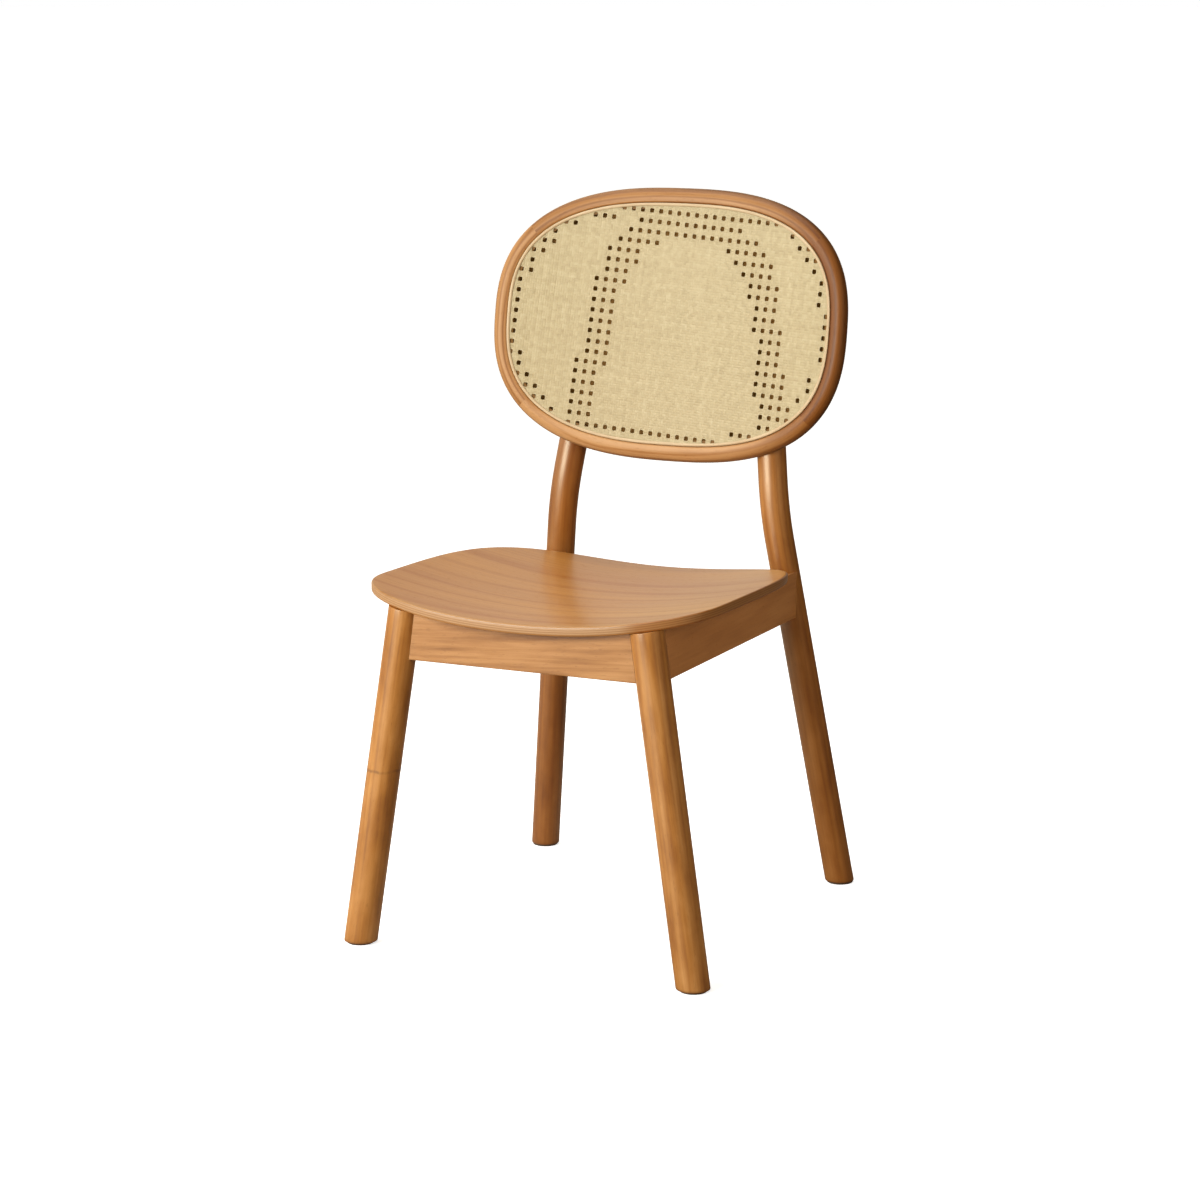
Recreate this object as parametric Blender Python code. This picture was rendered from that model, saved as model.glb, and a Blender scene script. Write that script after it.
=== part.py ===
"""Cane back chair: a rigid dining chair with a dished plywood seat and a caned hoop for a back.

Frame: metres, +Z up, the sitter faces -Y, and left and right are -X and +X.
The origin lies on the floor in the middle of the chair's outline seen from above.
"""

import math

import bmesh
import bpy
import numpy as np
from mathutils import Matrix, Vector
from mathutils.geometry import delaunay_2d_cdt

# Clearances
FIT_GAP = 0.0003
CUT_OVERRUN = 0.003

# Front legs: axis at the seat's height, in from the seat's side and front edge, and splay at the floor
FRONT_LEG_RADIUS = 0.0210
FRONT_LEG_INSET_X = 0.0709
FRONT_LEG_INSET_Y = 0.0304
FRONT_SPLAY_X = 0.0661
FRONT_SPLAY_Y = 0.0080

# Rear legs: straight and raked below, then bent back to the lean of the hoop
REAR_LEG_RADIUS = 0.0190
REAR_LEG_INSET_X = 0.0713
REAR_LEG_SETBACK = 0.0221
REAR_SPLAY_X = 0.0576
REAR_SPLAY_Y = 0.0674
REAR_BEND_RISE = 0.0358
REAR_BEND_RADIUS = 0.266
UPRIGHT_LAP = 0.0100

# Foot glides
GLIDE_RADIUS = 0.0175
GLIDE_THICKNESS = 0.0024
GLIDE_EDGE_ROUND = 0.0008
GLIDE_PIN_RADIUS = 0.0025
GLIDE_PIN_LENGTH = 0.0180

# Seat panel: a round-fronted sheet of moulded plywood
SEAT_HEIGHT = 0.4342
SEAT_WIDTH = 0.4680
SEAT_DEPTH = 0.4422
SEAT_THICKNESS = 0.0120
SEAT_FRONT_Y = -0.2754
SEAT_FRONT_CURVE_DEPTH = 0.1169
SEAT_DISH_RADIUS = 0.987
SEAT_FALL_DEGREES = 0.73
SEAT_EDGE_ROUND = 0.0025
SEAT_STRIP = 0.034
FRONT_CURVE_POWER = 3.28
REAR_CURVE_POWER = 3.69

# Aprons and their tenons
APRON_DROP = 0.0626
APRON_THICKNESS = 0.0200
APRON_EDGE_ROUND = 0.0015
REAR_APRON_FORWARD = 0.0040
TENON_THICKNESS = 0.0100
TENON_HEIGHT = 0.0300
TENON_RISE = 0.0100
TENON_TIP_GAP = 0.0060

# Corner blocks and screws
FRONT_BLOCK_SIDE = 0.0560
REAR_BLOCK_SIDE = 0.0800
BLOCK_RISE = 0.0180
SCREW_RADIUS = 0.0020
SCREW_HEAD_RADIUS = 0.0042
SCREW_HEAD_HEIGHT = 0.0026
SCREW_TIP_LENGTH = 0.0040
APRON_SCREW_GRIP = 0.0140
APRON_SCREW_EDGE = 0.0230
APRON_SCREW_DEPTH = 0.0060
SEAT_SCREW_GRIP = 0.0080
SEAT_SCREW_INSET_X = 0.0190
FRONT_SEAT_SCREW_INSET_Y = 0.0190
REAR_SEAT_SCREW_INSET_Y = 0.0400

# Hoop: a leaning rounded oval, bowed round the sitter
HOOP_SETBACK = 0.0149
HOOP_RISE = 0.3098
HOOP_WIDTH = 0.5000
HOOP_HEIGHT = 0.3576
HOOP_LEAN_DEGREES = 9.25
HOOP_BOW_RADIUS = 0.994
HOOP_CURVE_POWER = 2.61
HOOP_JOINT_DEGREES = 40.0

# Rail of the hoop: face seen from the front, groove for the spline, land for the cane
RAIL_DEPTH = 0.0272
RAIL_FACE = 0.0205
RAIL_FACE_ROUND = 0.0025
GROOVE_WIDTH = 0.0040
GROOVE_DEPTH = 0.0060
LAND_WIDTH = 0.0040
LAND_DEPTH = 0.0022
REBATE_DEPTH = 0.0062

# Pieces held by the hoop
CANE_THICKNESS = 0.0015
SPLINE_CROWN = 0.0006
BACKING_THICKNESS = 0.0050
PANEL_STRIP = 0.034
HOOP_DOWEL_RADIUS = 0.0040
HOOP_DOWEL_LENGTH = 0.0360
BACK_DOWEL_RADIUS = 0.0040
BACK_DOWEL_LENGTH = 0.0240

# Weave: its lattice, hung slightly out of level, and the arch of open eyes
CANE_PITCH_ACROSS = 0.01291
CANE_PITCH_UP = 0.01379
CANE_START_X = -0.1224
CANE_START_UP = -0.1098
CANE_TURN_DEGREES = -3.85
EYE_WIDTH = 0.0056
EYE_HEIGHT = 0.0060
RING_INSET = 0.0178
RING_REACH_ACROSS = 0.0291
RING_REACH_UP = 0.0261
ARCH_CENTRE_X = 0.0155
ARCH_FOOT_HALF_WIDTH = 0.1571
ARCH_CROWN_HALF_WIDTH = 0.1370
ARCH_CROWN_UP = 0.1497
ARCH_FOOT_UP = -0.1362
ARCH_LEG_BAND = 0.0433
ARCH_CROWN_BAND = 0.0401
ARCH_CURVE_POWER = 3.285
ARCH_TURN_DEGREES = -0.64

# Facets
FRONT_LEG_SIDES = 32
REAR_LEG_SIDES = 26
REAR_BEND_STEPS = 7
LAP_PASSES = 4
SEAT_OUTLINE_POINTS = 76
HOOP_STATIONS = 76
EDGE_ROUND_STEPS = 2
RAIL_ROUND_STEPS = 8
DOWEL_SIDES = 10
SCREW_SIDES = 8
GLIDE_SIDES = 18
EYE_SIDES = 6
CURVE_SAMPLES = 1440
SMOOTH_DEGREES = 35.0

# Finishes: colour, roughness and metallic value
HONEY_BEECH = ((0.50, 0.25, 0.11), 0.38, 0.0)
HONEY_PLY = ((0.56, 0.30, 0.13), 0.30, 0.0)
STAINED_PLY = ((0.20, 0.11, 0.05), 0.60, 0.0)
RAW_BEECH = ((0.62, 0.44, 0.28), 0.70, 0.0)
NATURAL_CANE = ((0.72, 0.60, 0.36), 0.60, 0.0)
PALE_REED = ((0.80, 0.66, 0.44), 0.55, 0.0)
DARK_NYLON = ((0.06, 0.045, 0.035), 0.55, 0.0)
ZINC_STEEL = ((0.55, 0.54, 0.52), 0.35, 1.0)

# Values worked out from the sizes above
SEAT_WIDEST_Y = SEAT_FRONT_Y + SEAT_FRONT_CURVE_DEPTH
SEAT_REAR_Y = SEAT_FRONT_Y + SEAT_DEPTH
FRONT_SEAT_X = SEAT_WIDTH / 2 - FRONT_LEG_INSET_X
FRONT_SEAT_Y = SEAT_FRONT_Y + FRONT_LEG_INSET_Y
FRONT_FOOT_X = FRONT_SEAT_X + FRONT_SPLAY_X
FRONT_FOOT_Y = FRONT_SEAT_Y - FRONT_SPLAY_Y
REAR_SEAT_X = SEAT_WIDTH / 2 - REAR_LEG_INSET_X
REAR_SEAT_Y = SEAT_REAR_Y + REAR_LEG_SETBACK
REAR_FOOT_X = REAR_SEAT_X + REAR_SPLAY_X
REAR_FOOT_Y = REAR_SEAT_Y + REAR_SPLAY_Y
REAR_BEND_START_Z = SEAT_HEIGHT + REAR_BEND_RISE
APRON_BOTTOM_Z = SEAT_HEIGHT - APRON_DROP
HOOP_CENTRE_Y = REAR_SEAT_Y + HOOP_SETBACK
HOOP_CENTRE_Z = SEAT_HEIGHT + HOOP_RISE
HOOP_LEAN = math.radians(HOOP_LEAN_DEGREES)
RAIL_OUT = RAIL_FACE / 2
RAIL_FRONT = RAIL_DEPTH / 2
HOOP_HALF_WIDTH = HOOP_WIDTH / 2 - RAIL_OUT
HOOP_HALF_HEIGHT = HOOP_HEIGHT / 2 - RAIL_OUT
GROOVE_INNER = -RAIL_OUT - GROOVE_WIDTH
RAIL_INNER = GROOVE_INNER - LAND_WIDTH
SIDES = {"left": -1, "right": 1}


def clear_scene():
    """Remove whatever the file opened with."""
    for thing in list(bpy.data.objects):
        bpy.data.objects.remove(thing, do_unlink=True)


def make_finish(name, finish):
    """Make one piece's own material."""
    colour, roughness, metallic = finish
    material = bpy.data.materials.new(name + "_finish")
    material.use_nodes = True
    shader = material.node_tree.nodes["Principled BSDF"]
    shader.inputs["Base Color"].default_value = (*colour, 1.0)
    shader.inputs["Roughness"].default_value = roughness
    shader.inputs["Metallic"].default_value = metallic
    material.diffuse_color = (*colour, 1.0)
    return material


def add_object(name, bm, parent=None):
    """Turn a bmesh into an object, with its faces pointing out."""
    bmesh.ops.recalc_face_normals(bm, faces=bm.faces)
    mesh = bpy.data.meshes.new(name)
    bm.to_mesh(mesh)
    bm.free()
    mesh.shade_smooth()
    mesh.set_sharp_from_angle(angle=math.radians(SMOOTH_DEGREES))
    thing = bpy.data.objects.new(name, mesh)
    bpy.context.collection.objects.link(thing)
    thing.parent = parent
    return thing


def add_piece(name, bm, finish, parent=None):
    """Add one piece of the chair with its own material."""
    thing = add_object(name, bm, parent)
    thing.data.materials.append(make_finish(name, finish))
    return thing


def add_cutter(name, bm, parent=None):
    """Add a hidden shape that only cuts or joins others."""
    thing = add_object(name, bm, parent)
    thing.hide_render = True
    thing.display_type = "WIRE"
    return thing


def add_boolean(target, cutter, operation="DIFFERENCE"):
    """Cut the target with a cutter, or join the cutter to it."""
    modifier = target.modifiers.new(cutter.name, "BOOLEAN")
    modifier.operation = operation
    modifier.object = cutter


def superellipse(angle, half_width, half_height, power):
    """Point on a rounded oval at an angle."""
    cosine = math.cos(angle)
    sine = math.sin(angle)
    across = math.copysign(abs(cosine) ** (2 / power), cosine) * half_width
    up = math.copysign(abs(sine) ** (2 / power), sine) * half_height
    return across, up


def even_outline(point_at, count):
    """Space points evenly along a closed curve given by a function of the angle."""
    angles = np.linspace(-math.pi, math.pi, CURVE_SAMPLES + 1)
    points = np.array([point_at(angle) for angle in angles])
    steps = np.hypot(*np.diff(points, axis=0).T)
    lengths = np.concatenate([[0.0], np.cumsum(steps)])
    wanted = np.linspace(0.0, lengths[-1], count, endpoint=False)
    across = np.interp(wanted, lengths, points[:, 0])
    up = np.interp(wanted, lengths, points[:, 1])
    return np.column_stack([across, up])


def outward_normals(outline):
    """Unit normals of a closed outline that runs anticlockwise."""
    along = np.roll(outline, -1, axis=0) - np.roll(outline, 1, axis=0)
    normals = np.column_stack([along[:, 1], -along[:, 0]])
    return normals / np.linalg.norm(normals, axis=1)[:, None]


def bridge_stack(bm, loops, closed=False):
    """Join loops of equal length into a skin, capped at both ends unless it closes on itself."""
    rings = [[bm.verts.new(point) for point in loop] for loop in loops]
    pairs = list(zip(rings, rings[1:]))
    if closed:
        pairs.append((rings[-1], rings[0]))
    for lower, upper in pairs:
        for index in range(len(lower)):
            following = (index + 1) % len(lower)
            bm.faces.new((lower[index], lower[following], upper[following], upper[index]))
    if not closed:
        bm.faces.new(list(reversed(rings[0])))
        bm.faces.new(rings[-1])


def plate_loops(outline, thickness, edge_round):
    """Loops of a plate from its underside at zero to its top, with rounded edges."""
    normals = outward_normals(outline)
    profile = []
    if edge_round > 0:
        for step in range(EDGE_ROUND_STEPS + 1):
            turn = math.pi / 2 * step / EDGE_ROUND_STEPS
            inset = edge_round * (1 - math.sin(turn))
            profile.append((inset, edge_round * (1 - math.cos(turn))))
        profile += [(inset, thickness - height) for inset, height in reversed(profile)]
    else:
        profile = [(0.0, 0.0), (0.0, thickness)]
    loops = []
    for inset, height in profile:
        ring = outline - normals * inset
        loops.append([(x, y, height) for x, y in ring])
    return loops


def slice_across(bm, half_width, strip):
    """Slice a plate into strips along Y, so that it can bend across X."""
    count = math.ceil(2 * half_width / strip)
    for index in range(1, count):
        place = -half_width + 2 * half_width * index / count
        everything = bm.verts[:] + bm.edges[:] + bm.faces[:]
        bmesh.ops.bisect_plane(bm, geom=everything, plane_co=(place, 0, 0), plane_no=(1, 0, 0))


def box_mesh(low, high):
    """Bmesh of a box between two corners."""
    bm = bmesh.new()
    bmesh.ops.create_cube(bm, size=1)
    middle = (Vector(low) + Vector(high)) / 2
    size = Vector(high) - Vector(low)
    bmesh.ops.transform(bm, matrix=Matrix.LocRotScale(middle, None, size), verts=bm.verts)
    return bm


def rod_mesh(start, axis, length, radius, sides):
    """Bmesh of a straight rod that begins at a point and runs along an axis."""
    bm = bmesh.new()
    bmesh.ops.create_cone(bm, cap_ends=True, segments=sides, radius1=radius, radius2=radius, depth=length)
    turn = Vector(axis).to_track_quat("Z", "Y")
    middle = Vector(start) + Vector(axis).normalized() * length / 2
    bmesh.ops.transform(bm, matrix=Matrix.LocRotScale(middle, turn, None), verts=bm.verts)
    return bm


def turned_mesh(profile, sides):
    """Bmesh turned about Z from (radius, height) points that begin and end on the axis."""
    bm = bmesh.new()
    verts = [bm.verts.new((radius, 0.0, height)) for radius, height in profile]
    edges = [bm.edges.new(pair) for pair in zip(verts, verts[1:])]
    bmesh.ops.spin(
        bm, geom=verts + edges, axis=(0, 0, 1), cent=(0, 0, 0), angle=2 * math.pi, steps=sides, use_merge=True
    )
    bmesh.ops.remove_doubles(bm, verts=bm.verts, dist=FIT_GAP / 10)
    return bm


# Seat

def seat_top_z(x, y):
    """Height of the seat's upper face: dished across and falling slightly to the rear."""
    fall = math.tan(math.radians(SEAT_FALL_DEGREES)) * (y - SEAT_FRONT_Y)
    return SEAT_HEIGHT + x * x / (2 * SEAT_DISH_RADIUS) - fall


def seat_outline():
    """Outline of the seat seen from above: fuller at the rear than at the front."""
    def point_at(angle):
        rear = angle > 0
        depth = SEAT_REAR_Y - SEAT_WIDEST_Y if rear else SEAT_WIDEST_Y - SEAT_FRONT_Y
        power = REAR_CURVE_POWER if rear else FRONT_CURVE_POWER
        across, along = superellipse(angle, SEAT_WIDTH / 2, depth, power)
        return across, SEAT_WIDEST_Y + along
    return even_outline(point_at, SEAT_OUTLINE_POINTS)


def make_seat():
    """Moulded seat panel: a flat plate with rounded edges, pressed to the dished surface."""
    bm = bmesh.new()
    bridge_stack(bm, plate_loops(seat_outline(), SEAT_THICKNESS, SEAT_EDGE_ROUND))
    slice_across(bm, SEAT_WIDTH / 2, SEAT_STRIP)
    for vert in bm.verts:
        vert.co.z += seat_top_z(vert.co.x, vert.co.y) - SEAT_THICKNESS
    bmesh.ops.triangulate(bm, faces=bm.faces)
    return add_piece("seat_panel", bm, HONEY_PLY)


def make_seat_space():
    """Cutter above the seat's underside, which trims what stands under the seat."""
    half_width = SEAT_WIDTH / 2
    count = 2 * math.ceil(half_width / SEAT_STRIP)
    lid = seat_top_z(half_width, SEAT_FRONT_Y) + SEAT_THICKNESS
    loops = []
    for y in (SEAT_FRONT_Y - FRONT_LEG_RADIUS, REAR_FOOT_Y):
        lower = []
        for index in range(count + 1):
            x = half_width * (2 * index / count - 1)
            lower.append((x, y, seat_top_z(x, y) - SEAT_THICKNESS - FIT_GAP))
        loops.append(lower + [(half_width, y, lid), (-half_width, y, lid)])
    bm = bmesh.new()
    bridge_stack(bm, loops)
    return add_cutter("seat_space", bm)


# Legs

def axis_at(foot, seat_point, z):
    """Point on a straight leg's axis at a height."""
    return foot + (seat_point - foot) * (z / SEAT_HEIGHT)


def front_axis(side, z):
    """Front leg's axis at a height."""
    foot = Vector((side * FRONT_FOOT_X, FRONT_FOOT_Y, 0))
    return axis_at(foot, Vector((side * FRONT_SEAT_X, FRONT_SEAT_Y, SEAT_HEIGHT)), z)


def rear_axis(side, z):
    """Rear leg's axis at a height, along its straight lower run."""
    foot = Vector((side * REAR_FOOT_X, REAR_FOOT_Y, 0))
    return axis_at(foot, Vector((side * REAR_SEAT_X, REAR_SEAT_Y, SEAT_HEIGHT)), z)


def leg_tube(path, radius, sides):
    """Bmesh of a round leg along a path, with each ring square to it."""
    loops = []
    for index, point in enumerate(path):
        before = path[max(index - 1, 0)]
        after = path[min(index + 1, len(path) - 1)]
        turn = (after - before).to_track_quat("Z", "Y")
        angles = [2 * math.pi * corner / sides for corner in range(sides)]
        loops.append([point + turn @ Vector((radius * math.cos(a), radius * math.sin(a), 0)) for a in angles])
    bm = bmesh.new()
    bridge_stack(bm, loops)
    return bm


def front_path(side, top_z):
    """Front leg's axis from just under the floor to a height."""
    return [front_axis(side, -GLIDE_THICKNESS), front_axis(side, top_z)]


def upright_path(side):
    """Rear leg's axis from just under the floor, round its bend and on to the lap behind the rail."""
    start = rear_axis(side, REAR_BEND_START_Z)
    slope = (start - rear_axis(side, 0)) / REAR_BEND_START_Z
    first_tilt = math.atan(slope.y)
    path = [rear_axis(side, -GLIDE_THICKNESS), rear_axis(side, SEAT_HEIGHT), start]
    for step in range(1, REAR_BEND_STEPS + 1):
        tilt = first_tilt + (HOOP_LEAN - first_tilt) * step / REAR_BEND_STEPS
        rise = REAR_BEND_RADIUS * (math.sin(tilt) - math.sin(first_tilt))
        back = REAR_BEND_RADIUS * (math.cos(first_tilt) - math.cos(tilt))
        path.append(start + Vector((slope.x * rise, back, rise)))
    course = Vector((slope.x, math.tan(HOOP_LEAN), 1))
    end = path[-1].copy()
    for _ in range(LAP_PASSES):
        short = rail_up_at(end.x) + UPRIGHT_LAP - up_in_back(end)
        end += course * short * math.cos(HOOP_LEAN)
    return path + [end]


def make_legs():
    """Four round legs, keyed by their end and side."""
    legs = {}
    for side_name, side in SIDES.items():
        path = front_path(side, SEAT_HEIGHT + SEAT_THICKNESS)
        bm = leg_tube(path, FRONT_LEG_RADIUS, FRONT_LEG_SIDES)
        legs["front", side_name] = add_piece("front_leg_" + side_name, bm, HONEY_BEECH)
        bm = leg_tube(upright_path(side), REAR_LEG_RADIUS, REAR_LEG_SIDES)
        legs["rear", side_name] = add_piece("rear_leg_" + side_name, bm, HONEY_BEECH)
    return legs


def make_leg_spaces():
    """Cutters a fit wider than the legs, which scribe what meets them."""
    spaces = {}
    for side_name, side in SIDES.items():
        path = front_path(side, SEAT_HEIGHT + SEAT_THICKNESS + CUT_OVERRUN)
        bm = leg_tube(path, FRONT_LEG_RADIUS + FIT_GAP, FRONT_LEG_SIDES)
        spaces["front", side_name] = add_cutter("front_leg_space_" + side_name, bm)
        bm = leg_tube(upright_path(side), REAR_LEG_RADIUS + FIT_GAP, REAR_LEG_SIDES)
        spaces["rear", side_name] = add_cutter("rear_leg_space_" + side_name, bm)
    return spaces


def make_glides(legs):
    """A flat glide under each leg, with a pin pressed up into it; the foot is cut flat above it."""
    half = FRONT_FOOT_X + REAR_FOOT_X
    floor = box_mesh((-half, -half, -half), (half, half, GLIDE_THICKNESS + FIT_GAP))
    floor_space = add_cutter("floor_space", floor)
    pin_top = GLIDE_THICKNESS + GLIDE_PIN_LENGTH
    disc = [
        (0, 0),
        (GLIDE_RADIUS - GLIDE_EDGE_ROUND, 0),
        (GLIDE_RADIUS, GLIDE_EDGE_ROUND),
        (GLIDE_RADIUS, GLIDE_THICKNESS),
        (GLIDE_PIN_RADIUS, GLIDE_THICKNESS),
        (GLIDE_PIN_RADIUS, pin_top - GLIDE_PIN_RADIUS),
        (0, pin_top),
    ]
    for (end, side_name), leg in legs.items():
        axis = front_axis if end == "front" else rear_axis
        place = axis(SIDES[side_name], 0)
        glide = add_piece("foot_glide_" + end + "_" + side_name, turned_mesh(disc, GLIDE_SIDES), DARK_NYLON)
        glide.location = place
        hole = rod_mesh(place, (0, 0, 1), pin_top + FIT_GAP, GLIDE_PIN_RADIUS + FIT_GAP, GLIDE_SIDES)
        add_boolean(leg, floor_space)
        add_boolean(leg, add_cutter("pin_hole_" + end + "_" + side_name, hole))


# Aprons

def tenon_box(low, high, grow):
    """Bmesh of a tenon's box, grown all round by a clearance."""
    margin = Vector((grow, grow, grow))
    return box_mesh(Vector(low) - margin, Vector(high) + margin)


def apron_board(low, high, along):
    """Bmesh of a board with its two long lower edges softened."""
    bm = box_mesh(low, high)
    lower = []
    for edge in bm.edges:
        first, second = (vert.co for vert in edge.verts)
        course = second - first
        if abs(course[along]) > 0 and max(first.z, second.z) < high[2] and abs(course.z) == 0:
            lower.append(edge)
    bmesh.ops.bevel(bm, geom=lower, offset=APRON_EDGE_ROUND, segments=2, affect="EDGES", profile=0.5)
    return bm


def apron_lines():
    """Centre planes of the front, rear and side aprons, worked out from the leg axes."""
    front_y = front_axis(1, APRON_BOTTOM_Z).y
    rear_y = rear_axis(1, tenon_middle_z()).y - REAR_APRON_FORWARD
    side_x = (front_axis(1, APRON_BOTTOM_Z).x + rear_axis(1, APRON_BOTTOM_Z).x) / 2
    return front_y, rear_y, side_x


def tenon_middle_z():
    """Height of the middle of every tenon."""
    return APRON_BOTTOM_Z + TENON_RISE + TENON_HEIGHT / 2


def make_apron(name, low, high, along, legs, leg_spaces, seat_space, ends):
    """Board between two legs: scribed to them, trimmed under the seat, with a tenon into each."""
    apron = add_piece(name, apron_board(low, high, along), HONEY_BEECH)
    for key in ends:
        add_boolean(apron, leg_spaces[key])
    add_boolean(apron, seat_space)
    middle = (Vector(low) + Vector(high)) / 2
    tenon_low = APRON_BOTTOM_Z + TENON_RISE
    tenon_high = tenon_low + TENON_HEIGHT
    for key, sign in ends.items():
        axis = front_axis if key[0] == "front" else rear_axis
        points = [axis(SIDES[key[1]], z)[along] for z in (tenon_low, tenon_high)]
        tip = sign * (min(sign * point for point in points) - TENON_TIP_GAP)
        root = middle[along] + sign * abs(tip - middle[along]) / 2
        first = [middle.x - TENON_THICKNESS / 2, middle.y - TENON_THICKNESS / 2, tenon_low]
        second = [middle.x + TENON_THICKNESS / 2, middle.y + TENON_THICKNESS / 2, tenon_high]
        first[along] = min(tip, root)
        second[along] = max(tip, root)
        label = name + "_" + key[0] + "_" + key[1]
        add_boolean(apron, add_cutter("tenon_" + label, tenon_box(first, second, 0)), "UNION")
        add_boolean(legs[key], add_cutter("mortise_" + label, tenon_box(first, second, FIT_GAP)))
    return apron


def make_aprons(legs, leg_spaces, seat_space):
    """Four boards that join the legs under the seat."""
    front_y, rear_y, side_x = apron_lines()
    half = APRON_THICKNESS / 2
    lid = SEAT_HEIGHT + SEAT_THICKNESS
    aprons = {}
    reach = side_x - half - FIT_GAP
    for end, y in (("front", front_y), ("rear", rear_y)):
        low = (-reach, y - half, APRON_BOTTOM_Z)
        high = (reach, y + half, lid)
        ends = {(end, "left"): -1, (end, "right"): 1}
        aprons[end] = make_apron(end + "_apron", low, high, 0, legs, leg_spaces, seat_space, ends)
    for side_name, side in SIDES.items():
        low = (side * side_x - half, front_axis(1, SEAT_HEIGHT).y, APRON_BOTTOM_Z)
        high = (side * side_x + half, rear_axis(1, SEAT_HEIGHT).y, lid)
        ends = {("front", side_name): -1, ("rear", side_name): 1}
        name = side_name + "_apron"
        aprons[side_name] = make_apron(name, low, high, 1, legs, leg_spaces, seat_space, ends)
    return aprons


# Corner blocks and their screws

def screw_profile(length, grow, bore):
    """Profile of a countersunk screw from its head at zero to its tip, or of the hole for one."""
    shank = SCREW_RADIUS + grow
    head = SCREW_HEAD_RADIUS + grow
    points = [(0, -bore), (head, -bore)]
    if bore > 0:
        points.append((head, 0))
    return points + [
        (shank, SCREW_HEAD_HEIGHT + grow),
        (shank, length - SCREW_TIP_LENGTH + grow),
        (0, length + grow),
    ]


def make_screw(name, head, course, length, bore, targets):
    """One screw, and its clearance hole in each piece that it passes through or enters."""
    turn = Vector(course).to_track_quat("Z", "Y").to_euler()
    screw = add_piece(name, turned_mesh(screw_profile(length, 0, 0), SCREW_SIDES), ZINC_STEEL)
    hole = add_cutter(name + "_hole", turned_mesh(screw_profile(length, FIT_GAP, bore), SCREW_SIDES))
    for thing in (screw, hole):
        thing.location = head
        thing.rotation_euler = turn
    for target in targets:
        add_boolean(target, hole)


def make_corner(end, side_name, seat, aprons, leg_space, seat_space):
    """Triangular block in one corner of the aprons, two screws into them and one up into the seat."""
    front_y, rear_y, side_x = apron_lines()
    half = APRON_THICKNESS / 2
    inward_x = -SIDES[side_name]
    inward_y = 1 if end == "front" else -1
    face_x = -inward_x * (side_x - half)
    face_y = (front_y if end == "front" else rear_y) + inward_y * half
    corner = Vector((face_x + inward_x * FIT_GAP, face_y + inward_y * FIT_GAP, 0))
    along_x = Vector((inward_x, 0, 0))
    along_y = Vector((0, inward_y, 0))
    size = FRONT_BLOCK_SIDE if end == "front" else REAR_BLOCK_SIDE
    plan = [corner, corner + along_x * size, corner + along_y * size]
    bottom = APRON_BOTTOM_Z + BLOCK_RISE
    heights = (bottom, SEAT_HEIGHT + SEAT_THICKNESS)
    bm = bmesh.new()
    bridge_stack(bm, [[(point.x, point.y, z) for point in plan] for z in heights])
    label = end + "_" + side_name
    block = add_piece("corner_block_" + label, bm, RAW_BEECH)
    add_boolean(block, leg_space)
    add_boolean(block, seat_space)
    seat_under = seat_top_z(corner.x, corner.y) - SEAT_THICKNESS
    raised = corner + Vector((0, 0, (bottom + seat_under) / 2))
    grip = APRON_SCREW_EDGE - APRON_SCREW_DEPTH
    length = grip + APRON_SCREW_GRIP
    for way, aside, across, board in (
        ("cross", along_x, along_y, aprons[end]),
        ("side", along_y, along_x, aprons[side_name]),
    ):
        head = raised + aside * (size - APRON_SCREW_EDGE) + across * grip
        make_screw("apron_screw_" + label + "_" + way, head, -across, length, size, [block, board])
    inset_y = FRONT_SEAT_SCREW_INSET_Y if end == "front" else REAR_SEAT_SCREW_INSET_Y
    head = corner + along_x * SEAT_SCREW_INSET_X + along_y * inset_y
    head.z = bottom + FIT_GAP
    top = seat_top_z(head.x, head.y) - SEAT_THICKNESS
    length = top + SEAT_SCREW_GRIP - head.z
    make_screw("seat_screw_" + label, head, (0, 0, 1), length, CUT_OVERRUN, [block, seat])


# Back

def make_back_frame():
    """Empty at the middle of the hoop, leaning with it: X across, -Y forward, Z up the hoop."""
    frame = bpy.data.objects.new("back_frame", None)
    bpy.context.collection.objects.link(frame)
    frame.location = (0, HOOP_CENTRE_Y, HOOP_CENTRE_Z)
    frame.rotation_euler = (-HOOP_LEAN, 0, 0)
    return frame


def up_in_back(point):
    """How far up the hoop, from its middle, a point of the chair lies."""
    offset = point - Vector((0, HOOP_CENTRE_Y, HOOP_CENTRE_Z))
    return offset.y * math.sin(HOOP_LEAN) + offset.z * math.cos(HOOP_LEAN)


def back_point(across, up, forward):
    """Point in the back's frame, bowed forward at both sides like the hoop."""
    return Vector((across, -forward - across * across / (2 * HOOP_BOW_RADIUS), up))


def rail_up_at(across):
    """How far up the hoop's lower rail runs at a distance across."""
    share = min(abs(across) / HOOP_HALF_WIDTH, 1)
    return -HOOP_HALF_HEIGHT * (1 - share ** HOOP_CURVE_POWER) ** (1 / HOOP_CURVE_POWER)


def hoop_oval(angle):
    """Point on the centre line of the hoop's rails."""
    return superellipse(angle, HOOP_HALF_WIDTH, HOOP_HALF_HEIGHT, HOOP_CURVE_POWER)


def hoop_outline():
    """Stations of the hoop's centre line and their outward normals, shared by all that it holds."""
    outline = even_outline(hoop_oval, HOOP_STATIONS)
    return outline, outward_normals(outline)


def joint_stations():
    """Stations of the four joints: lower left, lower right, upper right and upper left."""
    outline, _ = hoop_outline()
    angle = math.radians(HOOP_JOINT_DEGREES)
    stations = []
    for turn in (angle - math.pi, -angle, angle, math.pi - angle):
        gaps = np.linalg.norm(outline - np.array(hoop_oval(turn)), axis=1)
        stations.append(int(np.argmin(gaps)))
    return stations


def section_at(section, centre, normal):
    """One section of a rail, as points in the back's frame."""
    return [back_point(centre[0] + out * normal[0], centre[1] + out * normal[1], front) for out, front in section]


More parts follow.
